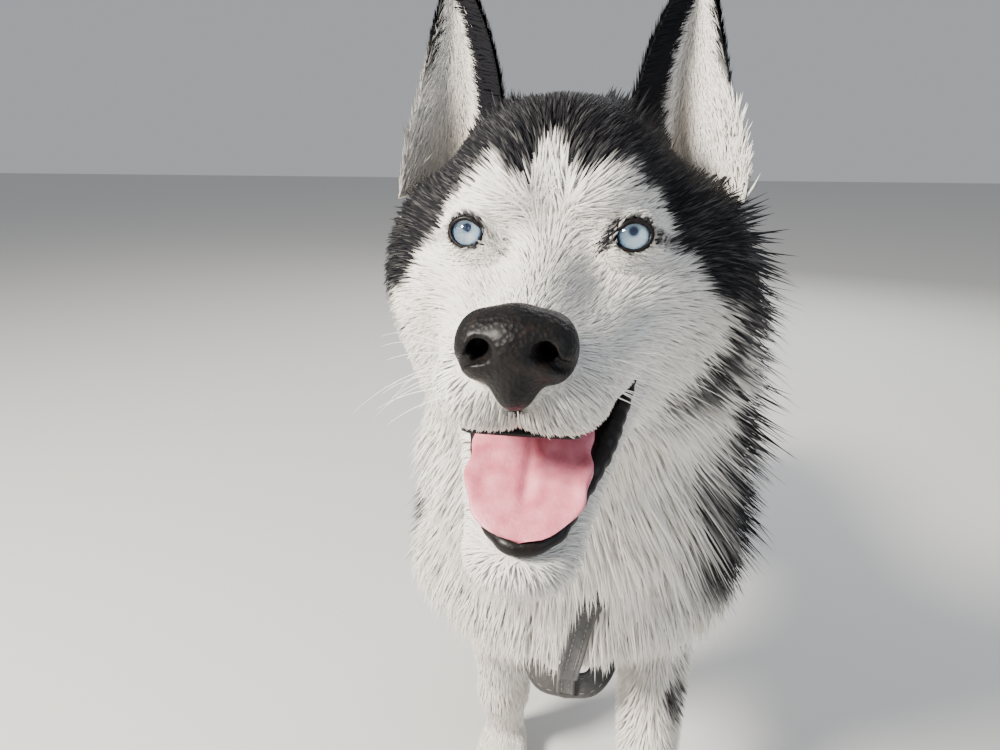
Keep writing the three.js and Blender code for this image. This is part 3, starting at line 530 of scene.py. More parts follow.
def new_mesh(name, points, faces, material, smooth_shaded=True):
    """A piece from points (N, 3) in the part's frame and faces (M, k)."""
    faces = np.asarray(faces, np.int32)
    mesh = bpy.data.meshes.new(name)
    mesh.vertices.add(len(points))
    mesh.vertices.foreach_set("co", placed(points).astype(np.float32).ravel())
    mesh.loops.add(faces.size)
    mesh.loops.foreach_set("vertex_index", faces.ravel())
    mesh.polygons.add(len(faces))
    mesh.polygons.foreach_set("loop_start", np.arange(0, faces.size, faces.shape[1], dtype=np.int32))
    mesh.polygons.foreach_set("use_smooth", np.full(len(faces), smooth_shaded))
    mesh.update(calc_edges=True)
    mesh.validate()
    piece = bpy.data.objects.new(name, mesh)
    bpy.context.scene.collection.objects.link(piece)
    mesh.materials.append(material)
    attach(piece, "root")
    return piece


def set_colours(piece, colours, name="Coat"):
    """Colours (N, 3) at the piece's points."""
    data = np.ones((len(colours), 4), np.float32)
    data[:, :3] = colours
    layer = piece.data.attributes.new(name, "FLOAT_COLOR", "POINT")
    layer.data.foreach_set("color", data.ravel())


def set_values(piece, values, name):
    """A vector (N, 3) at the piece's points, for its material."""
    layer = piece.data.attributes.new(name, "FLOAT_VECTOR", "POINT")
    layer.data.foreach_set("vector", np.asarray(values, np.float32).ravel())


def set_bake_map(piece, places):
    """A UV map for baking, from places (number of corners, 2)."""
    layer = piece.data.uv_layers.new(name="OFBake")
    layer.uv.foreach_set("vector", np.asarray(places, np.float32).ravel())


def corner_points(piece):
    """Number of the point at each corner of the piece's faces."""
    index = np.empty(len(piece.data.loops), np.int32)
    piece.data.loops.foreach_get("vertex_index", index)
    return index


# An unwrap of the skin: each region is wrapped round a path through its middle
TORSO_PATH = [[0, -90, 430], [0, 60, 450], [0, 340, 476]]
CHARTS = {
    "head": ([list(to_world([0, 60, -10])), list(to_world([0, -70, -60]))], (0.0, 0.52, 0.36, 1.0)),
    "neck": ([list(NECK_TOP), list(NECK_BASE)], (0.36, 0.52, 0.62, 1.0)),
    "torso": (TORSO_PATH, (0.0, 0.0, 0.5, 0.52)),
    "tail": (TAIL_PATH.tolist(), (0.62, 0.52, 0.76, 1.0)),
}
for place_number, (name, (side, top, joint, paw)) in enumerate(LEGS.items()):
    foot = [paw[0], paw[1], 24]
    path = [[side * q[0], q[1], q[2]] for q in (top, joint, foot, [paw[0], paw[1] - 30, 18])]
    left = 0.5 + 0.125 * place_number
    CHARTS[name] = (path, (left, 0.0, left + 0.125, 0.52))
EAR_CHARTS = {1: (0.76, 0.76, 1.0, 1.0), -1: (0.76, 0.52, 1.0, 0.76)}
CHART_NAMES = [name for name, *_ in REGIONS]
CAP = 60.0  # length kept on a chart for each rounded end
QUARTER_TURN = 1.571
CHART_MARGIN = 0.012


def region_of(p):
    """Number of the region whose form each column of p is nearest to."""
    return np.argmin([field(p) for _, field, *_ in REGIONS], axis=0)


def round_path(p, path):
    """Angle round a path and distance along it, at columns of p."""
    path = np.array(path, float)
    best = np.full(p.shape[1], np.inf)
    angle = np.zeros(p.shape[1])
    along = np.zeros(p.shape[1])
    walked = 0.0
    for a, b in zip(path, path[1:]):
        d = b - a
        size = np.linalg.norm(d)
        d = d / size
        q = p - a[:, None]
        t = (q * d[:, None]).sum(0)
        held = np.clip(t, 0, size)
        off = q - d[:, None] * held
        away = length(off)
        e2 = np.cross(d, [1, 0, 0])
        up = (off * (e2 / np.linalg.norm(e2))[:, None]).sum(0)
        past_end = CAP * np.arctan2(t - held, np.hypot(off[0], up)) / QUARTER_TURN
        nearer = away < best
        best = np.where(nearer, away, best)
        angle = np.where(nearer, np.arctan2(off[0], up), angle)
        along = np.where(nearer, walked + held + past_end, along)
        walked += size
    return angle, (along + CAP) / (walked + 2 * CAP)


def chart_places(p, region):
    """Angle (radians) and height on the charts, and the charts' rectangles as columns."""
    angle = np.zeros(p.shape[1])
    height = np.zeros(p.shape[1])
    rect = np.zeros((4, p.shape[1]))
    for number, name in enumerate(CHART_NAMES):
        mine = region == number
        if mine.any():
            path, corners = CHARTS[name]
            angle[mine], height[mine] = round_path(p[:, mine], path)
            rect[:, mine] = column(*corners)
    return angle, height, rect


def on_chart(angle, height, rect):
    """Places (N, 2) in the square from an angle, a height and a rectangle."""
    u0, v0, u1, v1 = rect
    u = (angle / (2 * np.pi) + 0.5) * (u1 - u0 - 2 * CHART_MARGIN) + u0 + CHART_MARGIN
    v = np.clip(height, 0, 1) * (v1 - v0 - 2 * CHART_MARGIN) + v0 + CHART_MARGIN
    return np.stack([u, v], 1)


# Markings
WHITE = np.array([0.88, 0.845, 0.79])
CREAM = np.array([0.70, 0.60, 0.48])
GREY = np.array([0.16, 0.155, 0.16])
BLACK = np.array([0.008, 0.008, 0.010])
LEATHER = np.array([0.008, 0.007, 0.008])
PINK = np.array([0.42, 0.17, 0.17])

# The black cap's edge on the forehead and cheeks, in the head's frame, and the saddle's lower edge
MASK_X = [0, 3, 6, 8, 12, 17, 22, 27, 33, 40, 46, 52, 58, 64, 72, 82, 95]
MASK_Z = [47, 45, 40, 34, 28, 26, 31, 34, 30, 25, 19, 10, 0, -9, -20, -28, -31]
SADDLE_Y = [-170, -110, -60, 60, 200, 300, 380, 440, 480]
SADDLE_Z = [438, 402, 374, 372, 380, 352, 322, 320, 330]


def wobble(p, size, seed):
    """Smooth noise from -1 to 1 with features of about that size, from a few crossed waves."""
    turn = np.random.default_rng(seed)
    total = np.zeros(p.shape[1])
    for _ in range(5):
        d = turn.normal(size=3)
        d *= 2 * np.pi / (size * turn.uniform(0.7, 1.5) * np.linalg.norm(d))
        total += np.sin((p * d[:, None]).sum(0) + turn.uniform(0, 6.3))
    return total / 2.6


def blackness(p):
    """From 0 where the coat is white to 1 where it is black."""
    h = to_head(p)
    x, y, z = np.abs(h[0]), h[1], h[2]
    on_head = smooth(-h[1], -100, -70)
    cap = smooth(z - np.interp(x, MASK_X, MASK_Z) + 2.5 * wobble(p, 16, 1), -3.5, 4.5)
    lowest = np.where(h[0] > 0, -104, -58)
    behind = smooth(y + 0.3 * x, 70, 90) * smooth(z - lowest, 0, 32)
    head = np.maximum(cap, behind)
    # round the neck: white in front as far as a limit in degrees, which is narrower on the left side
    axis_y = np.interp(p[2], [420, 520, 691], [-40, -100, -265])
    from_front = np.degrees(np.arctan2(np.abs(p[0]), axis_y - p[1]))
    limit = np.where(
        p[0] > 0,
        np.interp(p[2], [420, 480, 520, 560, 600, 660], [34, 34, 39, 50, 64, 76]),
        np.interp(p[2], [420, 480, 560, 640], [62, 64, 84, 98]),
    )
    side = smooth(from_front - limit + 7 * wobble(p, 45, 2), -9, 11)
    lower = np.interp(p[1], SADDLE_Y, SADDLE_Z) + 10 * wobble(p, 60, 3)
    above = smooth(p[2] - lower, -16, 16)
    trunk = side * above
    black = trunk + (head - trunk) * on_head * smooth(p[2], 600, 650)
    on_tail = smooth(p[1], 476, 500)
    tail_y = np.interp(-p[2], [-500, -428, -350, -270, -205], [500, 546, 566, 574, 598])
    tail = smooth(p[1] - tail_y + 6 * wobble(p, 30, 4), -22, 2)
    tail = np.maximum(tail, smooth(p[2], 470, 500))
    black = black + (tail - black) * on_tail
    spot = length((p - column(112, -70, 245)) / column(16, 20, 24))
    black = np.maximum(black, 0.75 * smooth(-spot, -1.25, -0.7))
    return np.clip(black, 0, 1)


BY_EYE = 45  # how far in front of or behind the eyes their marks reach
FAR = 99  # a distance that stands for being nowhere near


def lid_reach(h, near=BY_EYE):
    """Distance from the edge of the lids, where they meet the eyeball, at columns of the head's frame."""
    eye = lid_frame(h)
    from_ball = length(eye) - (EYEBALL_R + 1.0)
    reach = np.sqrt(np.maximum(lid_opening(eye), 0) ** 2 + np.maximum(from_ball, 0) ** 2)
    return np.where(np.abs(h[1] - EYE_CENTRE[1]) < near, reach, FAR)


EYE_STREAK = limb([42, -4.5, 2.5], [59, 18, 0.5], 1.8, 2.8)
INNER_CORNER = joined(
    [limb([26, -7, 2], [20.5, -7, -5], 2.4, 1.6), limb([26, -7, 4], [29, -7, 11], 1.6, 0.8)],
    1,
)


def shade_marks(h):
    """Soft grey marks on the face, from 0 to 1: round and behind the eyes, by the nose and on the brow."""
    q = np.array([np.abs(h[0]), h[1], h[2]])
    darker = np.where(h[0] > 0, 1.0, 0.5)
    over_eye = smooth(lid_frame(h)[2], 1, 5)
    under_nose = length((q - column(6, -84, -58)) / column(14, 10, 7))
    brow = length((q - column(0, -12, 8)) / column(12, 16, 16))
    marks = [
        0.95 * smooth(1.3 * over_eye - lid_reach(h), -3.6, -0.8),
        0.8 * darker * smooth(-EYE_STREAK(q), -3.5, 0.5),
        darker * smooth(-INNER_CORNER(q), -2.2, 0.0),
        0.35 * smooth(-under_nose, -1.3, -0.6),
        0.16 * smooth(-brow, -1.4, -0.4),
    ]
    return np.max(marks, axis=0)


def coat_colour(p, spread=0.0):
    """Colours (N, 3) of the coat at columns of p, varied from tuft to tuft by spread."""
    n = p.shape[1]
    h = to_head(p)
    near = np.abs(h).max(0) < 130
    black = blackness(p)
    marks = np.zeros(n)
    marks[near] = shade_marks(h[:, near])
    marks = np.clip(marks * (1 + spread * 0.45 * rng.normal(size=n)), 0, 1)
    dark = np.clip(black + spread * rng.normal(size=n) * (0.05 + 1.5 * black * (1 - black)), 0, 1)
    white = WHITE[:, None] * (1 + 0.05 * wobble(p, 50, 5) + spread * 0.105 * rng.normal(size=n))
    warm = np.clip(0.18 + 0.18 * wobble(p, 70, 6) + 0.125 * smooth(-p[2], -560, -300), 0, 1)
    white = white + (CREAM[:, None] - white) * warm * 0.5
    grey = np.clip(1 - np.abs(dark - 0.5) * 2, 0, 1) * 0.5
    mixed = white + (BLACK[:, None] - white) * dark ** 0.8
    mixed = mixed + (GREY[:, None] - mixed) * grey
    mixed = mixed + (BLACK[:, None] * 1.5 - mixed) * marks
    silver = (rng.random(n) < 0.03 * spread) * black
    mixed = mixed + (GREY[:, None] * 0.5 - mixed) * silver
    return np.clip(mixed, 0, 1).T


# Materials
def material(name, roughness, **sockets):
    """A material whose shader has those values in its own sockets."""
    made = bpy.data.materials.new(name)
    made.use_nodes = True
    shader = made.node_tree.nodes["Principled BSDF"]
    shader.inputs["Roughness"].default_value = roughness
    for socket, value in sockets.items():
        shader.inputs[socket.replace("_", " ")].default_value = value
    return made


def add(made, kind, **values):
    """A node with those values in its sockets or settings."""
    node = made.node_tree.nodes.new(kind)
    for key, value in values.items():
        if key in node.inputs:
            node.inputs[key].default_value = value
        else:
            setattr(node, key, value)
    return node


def link(made, source, target):
    made.node_tree.links.new(source, target)


def attribute(made, name):
    return add(made, "ShaderNodeAttribute", attribute_name=name)


def shader_of(made):
    return made.node_tree.nodes["Principled BSDF"]


def bump(made, height, strength, distance):
    """Bumps up to that distance, in metres, from a height."""
    node = add(made, "ShaderNodeBump", Strength=strength, Distance=distance)
    link(made, height, node.inputs["Height"])
    link(made, node.outputs["Normal"], shader_of(made).inputs["Normal"])


def noise(made, scale, detail, vector=None):
    """Noise over the piece, or over a vector."""
    node = add(made, "ShaderNodeTexNoise", Scale=scale, Detail=detail)
    if vector is None:
        vector = add(made, "ShaderNodeTexCoord").outputs["Object"]
    link(made, vector, node.inputs["Vector"])
    return node.outputs["Fac"]


def ramp(made, factor, stops):
    """Colours along a factor, from stops of (place, colour)."""
    node = add(made, "ShaderNodeValToRGB")
    link(made, factor, node.inputs["Fac"])
    elements = node.color_ramp.elements
    while len(elements) < len(stops):
        elements.new(0.5)
    for element, (place, colour) in zip(elements, stops):
        element.position = place
        element.color = (*colour, 1)
    return node.outputs["Color"]


def times(made, a, b):
    """One colour multiplied by another. Mix nodes name their colour sockets only by number."""
    node = add(made, "ShaderNodeMix", data_type="RGBA", blend_type="MULTIPLY")
    node.inputs[0].default_value = 1.0
    link(made, a, node.inputs[6])
    link(made, b, node.inputs[7])
    return node.outputs[2]


def scaled(made, value, factor):
    node = add(made, "ShaderNodeMath", operation="MULTIPLY")
    node.inputs[1].default_value = factor
    link(made, value, node.inputs[0])
    return node.outputs[0]


def paint(made, colour):
    link(made, colour, shader_of(made).inputs["Base Color"])


def mottle(made, scale, detail, stops):
    """The material's colour from fine noise."""
    paint(made, ramp(made, noise(made, scale, detail), stops))


def shade_coat(made, factor, stops, strength, distance):
    """Colours from the piece's own points, varied in shade and height by a factor."""
    shade = ramp(made, factor, [(place, (value, value, value + blue)) for place, value, blue in stops])
    paint(made, times(made, attribute(made, "Coat").outputs["Color"], shade))
    bump(made, factor, strength, distance)


# Each tuft reads as many fine hairs: streaks run along it, in colour and in bump
FUR = material("fur", 0.7, Specular_IOR_Level=0.08)
streak = noise(FUR, 1.0, 2.0, attribute(FUR, "Strand").outputs["Vector"])
shade_coat(FUR, streak, [(0.32, 0.80, 0.01), (0.68, 1.08, 0)], 0.35, 0.0006)
SKIN = material("skin", 0.75, Specular_IOR_Level=0.1)
shade_coat(SKIN, noise(SKIN, 900, 3), [(0.3, 0.72, 0), (0.7, 1.05, 0)], 0.6, 0.001)


# Skin
def bake_skin(piece, points):
    """The skin's bake map. All corners of a face go by the region and the turn of its middle."""
    corner = corner_points(piece)
    per = len(corner) // len(piece.data.polygons)
    centre = points[corner].reshape(-1, per, 3).mean(1).T
    region = region_of(centre)
    angle, _, _ = chart_places(centre, region)
    own = np.repeat(region, per)
    corner_angle, height, rect = chart_places(points[corner].T, own)
    turn = np.repeat(angle, per)
    corner_angle = turn + (corner_angle - turn + np.pi) % (2 * np.pi) - np.pi
    set_bake_map(piece, on_chart(corner_angle, height, rect))


def mouth_colour(h, colours):
    """Paints the lids' rims, the lips, the mouth's inside and the groove under the nose over the coat."""
    rim = lid_reach(h, 40)
    edge = smooth(-mouth_opening(h), -2.2, -0.6) * (h[1] < 10)
    colours = colours + (LEATHER - colours) * np.maximum(smooth(-rim, -1.7, -0.7), edge)[:, None]
    deep = smooth(-head_local(h), 6, 14) * edge * (h[2] < -68)
    groove = smooth(-np.abs(h[0]), -3.2, -1.6) * (h[1] < -84) * (h[2] < -44) * (h[2] > -80)
    colours = colours + (LEATHER - colours) * groove[:, None]
    return colours + (PINK * 0.45 - colours) * deep[:, None]


# Painted shade: the skin under the coat is darker than the coat's own colour, as shade between the tufts
SKIN_PAINTED_SHADE = 0.88
skin_points, skin_faces = biggest(*net(skin_field, SKIN_LINES))
skin = new_mesh("skin", skin_points, skin_faces, SKIN)
skin_colours = coat_colour(skin_points.T) * SKIN_PAINTED_SHADE
set_colours(skin, mouth_colour(to_head(skin_points.T), skin_colours))
bake_skin(skin, skin_points)


# Tufts, with three or two rings of points between root and tip
STATIONS = {3: np.array([0.0, 0.34, 0.7, 1.0]), 2: np.array([0.0, 0.5, 1.0])}
RING_WIDTHS = {3: np.array([0.75, 1.0, 0.66]), 2: np.array([0.85, 0.9])}
MOST_TUFTS = {3: 12000, 2: 19000}  # in one piece
TUFT_THICK = 0.3  # share of its width
ROUNDING = 0.7  # how far the shading turns towards a tuft's sides
ROOT_PAINTED_SHADE = 0.16  # painted shade deep in the coat: how much darker a root is than its tip
PATCH = 0.003  # side of a tuft's place on the bake map


def tuft_faces(rings):
    """Triangles of one tuft: a three-sided spike with its root closed."""
    faces = [[0, 2, 1]]
    for ring in range(rings - 1):
        low, high = 3 * ring, 3 * ring + 3
        for a in range(3):
            b = (a + 1) % 3
            faces += [[low + a, low + b, high + b], [low + a, high + b, high + a]]
    end, tip = 3 * rings - 3, 3 * rings
    faces += [[end, end + 1, tip], [end + 1, end + 2, tip], [end + 2, end, tip]]
    return np.array(faces)[:, ::-1]


def tuft_points(centres, sides, ups, width, thick):
    """Points of tufts from their centres, sides and ups (N, stations, 3), and the way each point faces."""
    rings = centres.shape[1] - 1
    points, facing = [], []
    for ring, share in enumerate(RING_WIDTHS[rings]):
        across = sides[:, ring] * (0.5 * share * width)[:, None]
        ridge = ups[:, ring] * (thick * (1 - 0.25 * ring))[:, None]
        points += [centres[:, ring] + across, centres[:, ring] + ridge, centres[:, ring] - across]
        tilt = ROUNDING * sides[:, ring]
        facing += [ups[:, ring] + tilt, ups[:, ring], ups[:, ring] - tilt]
    points.append(centres[:, -1])
    facing.append(ups[:, -1])
    return np.stack(points, 1), np.stack(facing, 1)


def make_tufts(name, centres, sides, ups, width, colours, tip_shade, root_places):
    """Coat pieces from tufts. Their colour runs from a root darkened with painted shade to the tip."""
    count = len(width)
    rings = centres.shape[1] - 1
    points, facing = tuft_points(centres, sides, ups, width, TUFT_THICK * width)
    per_tuft = 3 * rings + 1
    along = np.repeat(STATIONS[rings], 3)[:per_tuft]
    across = np.append(np.tile([1, 0, -1], rings), 0) * np.append(np.repeat(RING_WIDTHS[rings], 3), 0)
    # painted shade: each tuft is darker at its root, where shade falls in the coat, and a little brighter at
    # its tip
    shade = 1.02 - ROOT_PAINTED_SHADE + ROOT_PAINTED_SHADE * along**0.7
    tint = colours[:, None, :] * shade[None, :, None]
    tint = tint + (tip_shade[:, None, :] - tint) * (0.6 * along**2)[None, :, None]
    seed = rng.random(count) * 400
    strand = np.zeros((count, per_tuft, 3))
    strand[:, :, 0] = across[None, :] * (width * 1.6)[:, None] + seed[:, None]
    strand[:, :, 1] = along[None, :] * 1.2
    strand[:, :, 2] = seed[:, None] * 0.37
    patch = np.stack([across * 0.45, along - 0.5], 1) * PATCH
    places = root_places[:, None, :] + patch[None, :, :]
    pieces = -(-count // MOST_TUFTS[rings])
    for number in range(pieces):
        part = slice(count * number // pieces, count * (number + 1) // pieces)
        held = part.stop - part.start
        faces = (np.arange(held)[:, None, None] * per_tuft + tuft_faces(rings)[None]).reshape(-1, 3)
        piece_name = f"{name}_{number + 1}" if pieces > 1 else name
        piece = new_mesh(piece_name, points[part].reshape(-1, 3), faces, FUR)
        set_colours(piece, np.clip(tint[part], 0, 1).reshape(-1, 3))
        set_values(piece, strand[part].reshape(-1, 3), "Strand")
        set_bake_map(piece, places[part].reshape(-1, 2)[corner_points(piece)])
        piece.data.normals_split_custom_set_from_vertices(unit(facing[part].reshape(-1, 3).T).T)


def cell_key(p):
    """One number for the unit cell that each column of p is in."""
    cell = np.floor(p).astype(np.int64)
    return (cell[0] * 4093 + cell[1]) * 4093 + cell[2]


def scatter(points, faces, spacing_at, chosen):
    """Roots spread over a quad mesh, with one kept in each cell of about the size spacing_at(points)."""
    quad = points[faces]
    centre = quad.mean(1)
    normal = np.cross(quad[:, 2] - quad[:, 0], quad[:, 3] - quad[:, 1])
    area = np.linalg.norm(normal, axis=1) / 2
    spacing = spacing_at(centre)
    wanted = np.where(chosen, 2.6 * area / spacing**2, 0)
    number = rng.poisson(wanted)
    face = np.repeat(np.arange(len(faces)), number)
    s, t = rng.random((2, len(face), 1))
    q = quad[face]
    roots = (q[:, 0] * (1 - s) + q[:, 1] * s) * (1 - t) + (q[:, 3] * (1 - s) + q[:, 2] * s) * t
    size = 2.0 ** (np.round(np.log2(spacing[face]) * 4) / 4)
    key = cell_key(roots.T / size) * 97 + np.round(np.log2(size) * 4).astype(np.int64)
    _, first = np.unique(key, return_index=True)
    first.sort()
    return roots[first].T


def lie_of_coat(p):
    """Direction that the hair lies in at columns of p, before it is laid along the skin."""
    h = to_head(p)
    side = np.sign(p[0]) * smooth(np.abs(p[0]), 0, 12)
    parting = 0.42 * side * smooth(h[2], -12, 12) * smooth(-h[1], -60, -20)
    from_nose = unit(h - column(0, -96, -30)) + rows(parting, 0, 0)
    cheek = unit(rows(0.55 * side, 0.85, -0.5))
    down_cheek = smooth(h[1], 10, 60) * smooth(-h[2], -25, 20)
    local = unit(from_nose + (cheek - from_nose) * down_cheek)
    jaw = smooth(-h[2], 85, 105)
    local = local + (column(0, 0.8, -0.6) - local) * jaw
    head = to_world(local) - EYE_MID[:, None]
    front = smooth(-p[1], 60, 200) * smooth(-p[2], -640, -420)
    neck = unit(unit((NECK_BASE - NECK_TOP)[:, None]) + rows(0.25 * side, 0, -0.35))
    neck = neck + (unit(rows(0.3 * side, 0.1, -1)) - neck) * front
    trunk = unit(rows(0, 1, -0.45 + 0.3 * smooth(p[2], 500, 570)))
    trunk = trunk + (column(0, 0.35, -1) - trunk) * smooth(-p[1], 60, 130)
    trunk = trunk + (column(0, 0.25, -1) - trunk) * smooth(-p[2], -350, -290)
    trunk = trunk + (column(0, -0.5, -0.8) - trunk) * smooth(-p[2], -60, -30)
    at, ahead = (
        np.array([np.interp(-height, -TAIL_PATH[1:, 2], TAIL_PATH[1:, axis]) for axis in range(3)])
        for height in (p[2], p[2] - 30)
    )
    tail = unit(ahead - at + column(0, 0.1, -6)) + 0.35 * unit(p - at)
    rump = smooth(p[1], 430, 500)
    on_head = smooth(-p[1], 225, 275) * smooth(p[2], 590, 640)
    on_neck = smooth(-p[1], 60, 130) * smooth(p[2], 470, 560)
    flow = trunk + (neck - trunk) * on_neck
    flow = flow + (head - flow) * on_head
    return unit(flow + (tail - flow) * rump)


# How the tufts of each zone look: rows of length, width, spacing, rise over the outer form, size of the
# clumps that they gather in, pull towards a clump's middle, and unevenness
LONG, WIDTH, SPACING, RISE = range(4)
LOOKS = {
    "muzzle": (6.5, 0.75, 1.35, 0.3, 5, 0.10, 0.07),
    "face": (10.5, 0.95, 1.65, 0.6, 7, 0.15, 0.09),
    "cheek": (32, 1.4, 2.2, 8, 12, 0.4, 0.13),
    "neck": (66, 2.1, 3.1, 19, 17, 0.5, 0.18),
    "chest": (56, 2.0, 3.2, 12, 17, 0.5, 0.16),
    "body": (42, 2.9, 4.7, 0.5, 14, 0.35, 0.12),
    "leg": (18, 1.8, 3.1, 0.3, 8, 0.3, 0.10),
    "foot": (8.5, 1.4, 2.4, 0.2, 5, 0.2, 0.08),
    "breech": (56, 2.6, 4.1, 10, 16, 0.45, 0.14),
    "tail": (80, 2.9, 4.0, 17, 18, 0.45, 0.14),
}


def zone_weights(p):
    """Share of each zone at columns of p, as rows."""
    h = to_head(p)
    on_head = smooth(-p[1], 232, 268) * smooth(p[2], 585, 625)
    muzzle = smooth(-h[1], 8, 40)
    cheek = smooth(h[1] + 0.25 * np.abs(h[0]), 52, 88) * smooth(-h[2], -45, 5)
    chin = smooth(-h[2], 88, 112) * smooth(h[1], -30, 20)
    cheek = np.maximum(cheek, 0.6 * chin)
    on_neck = smooth(-p[1], 40, 130) * smooth(p[2], 480, 540)
    chest = smooth(-p[1], 90, 150) * smooth(p[2], 330, 380)
    foot = smooth(-p[2], -62, -40)
    leg = smooth(-p[2], -330, -270)
    tail = smooth(p[1], 462, 500) * smooth(p[2], 150, 200)
    back_thigh = smooth(p[1], 375, 440) * smooth(p[2], 300, 350) * (1 - tail)
    weights = {
        "muzzle": on_head * muzzle,
        "cheek": on_head * (1 - muzzle) * cheek,
        "face": on_head * (1 - muzzle) * (1 - cheek),
    }
    rest = 1 - on_head
    zones = {"tail": tail, "neck": on_neck, "chest": chest, "breech": back_thigh, "foot": foot, "leg": leg}
    for zone, share in zones.items():
        weights[zone] = rest * share
        rest = rest * (1 - share)
    weights["body"] = rest
    return np.array([weights[zone] for zone in LOOKS])


def looks_at(p):
    """The looks of tufts at columns of p, as rows."""
    weights = zone_weights(p)
    return np.array(list(LOOKS.values())).T @ (weights / weights.sum(0))


def across_to(vector, normal):
    """Unit vector square to the normal."""
    return unit(vector - normal * (vector * normal).sum(0))


def eased(value, start, room):
    """Value, eased so that what is over start never gets further than room past it."""
    over = np.maximum(value - start, 0)
    return value - over + over * room / (over + room)


COAT_EASED_FROM = 142  # half width from which the coat is held back, and the room that it has past it
COAT_ROOM = 27
COAT_LOWEST = 1.0


def grow(roots, looks, rings):
    """Centres, sides and ups (N, stations, 3) of tufts that follow the body from roots in the skin."""
    long, _, _, rise, clump, pull, jitter = looks
    depth = coat_depth(roots, to_head(roots))
    clearance = np.minimum(1.0, 0.5 * depth)
    _, group = np.unique(cell_key(roots / np.maximum(clump, 4)), return_inverse=True)
    size = np.bincount(group)
    middle = np.array([np.bincount(group, roots[axis]) / size for axis in range(3)])
    lean = (rng.random((3, len(size))) - 0.5)[:, group]
    lift = (0.45 + 0.85 * rng.random(len(size)))[group] * (0.5 + 0.9 * rng.random(roots.shape[1]))
    to_middle = middle[:, group] - roots
    p = roots
    normal = gradient(outer_form, p, 3)
    flow = lie_of_coat(p) + jitter * rng.normal(size=p.shape) + 0.3 * lean * np.minimum(pull * 2, 1)
    centres, sides, ups = [], [], []
    walked = 0.0
    for s in STATIONS[rings]:
        along = across_to(flow, normal)
        if s:
            p = p + along * (s - walked) * long
            level = -depth + (depth + rise * lift - clearance) * s**1.1
            p = p - normal * np.clip(outer_form(p) - level, -30, 30) * 0.5
            normal = gradient(outer_form, p, 3)
            p = p - normal * np.clip(outer_form(p) - level, -30, 30)
            width = eased(np.abs(p[0]), COAT_EASED_FROM, COAT_ROOM)
            p = np.array([np.sign(p[0]) * width, p[1], np.maximum(p[2], COAT_LOWEST)])
            walked = s
            flow = along + 0.5 * (lie_of_coat(p) - along)
        centres.append(p + to_middle * pull * s)
        sides.append(unit(np.cross(along.T, normal.T).T))
        ups.append(normal)
    return [np.array(rows).transpose(2, 0, 1) for rows in (centres, sides, ups)]


def kept_clear(p):
    """Whether columns of p lie where the eyes, nose, lips, mouth or straps show."""
    h = to_head(p)
    by_eye = (np.abs(h[1] - EYE_CENTRE[1]) < BY_EYE) & (np.abs(h[0]) < 60)
    clear = by_eye & (lid_opening(lid_frame(h)) < -0.5)
    clear |= (h[1] < -74) & (nose_clear(h) < 0.9)
    clear |= (mouth_opening(h) < 0.8) & (h[1] < -9)
    clear |= (np.abs(h[0]) < 1.7) & (h[1] < -90) & (h[2] < -52) & (h[2] > -76)
    return clear | on_lips(p) | under_straps(p, 0.5, SHOWN_STRAPS)


WISPS = 0.03  # share of the tufts that may cross what is kept clear
DRAWN_IN = (1.0, 0.75, 0.5, 0.3, 0.18)  # shares of its length that a tuft is tried at


def shorten(centres):
    """Draws in, towards their roots, the tufts that cross what is kept clear. Returns which ones fit."""
    stray = np.nonzero(rng.random(len(centres)) > WISPS)[0]
    whole = centres[stray].copy()
    shares = STATIONS[centres.shape[1] - 1]
    for reach in DRAWN_IN:
        drawn = np.empty((len(stray), *centres.shape[1:]))
        for number, share in enumerate(shares):
            low = max(np.searchsorted(shares, share * reach) - 1, 0)
            t = (share * reach - shares[low]) / (shares[low + 1] - shares[low])
            drawn[:, number] = whole[:, low] + (whole[:, low + 1] - whole[:, low]) * t
        crossing = np.zeros(len(stray), bool)
        for number in range(1, len(shares)):
            crossing |= kept_clear(drawn[:, number].T)
            crossing |= kept_clear(0.5 * (drawn[:, number] + drawn[:, number - 1]).T)
        centres[stray[~crossing]] = drawn[~crossing]
        stray, whole = stray[crossing], whole[crossing]
        if len(stray) == 0:
            break
    fits = np.ones(len(centres), bool)
    fits[stray] = False
    return fits


# Regions in each coat piece, and the rings of its tufts
COAT_PIECES = {
    "head": (["head"], 2),
    "neck": (["neck"], 3),
    "torso": (["torso"], 2),
    "forelegs": (["foreleg_left", "foreleg_right"], 2),
    "hindlegs": (["hindleg_left", "hindleg_right"], 2),
    "tail": (["tail"], 3),
}
EAR_FOOT = (31, 58, 58), (82, 68, 22)  # inner and outer end, in the head's frame


def coat_roots():
    """Roots all over the skin, but for where the eyes, nose, mouth, straps and soles are."""
    centre = skin_points[skin_faces].mean(1).T
    h = to_head(centre)
    socket = (lid_reach(h) < 0.9) & (np.abs(h[0]) < 60)
    nose = (h[1] < -74) & (nose_clear(h) < 1.0)
    mouth = (mouth_opening(h) < 1.2) & (h[1] < -9)
    chosen = ~(socket | nose | mouth | (centre[2] < 3.5) | under_straps(centre, 0.0))
    return scatter(skin_points, skin_faces, lambda middle: looks_at(middle.T)[SPACING], chosen)


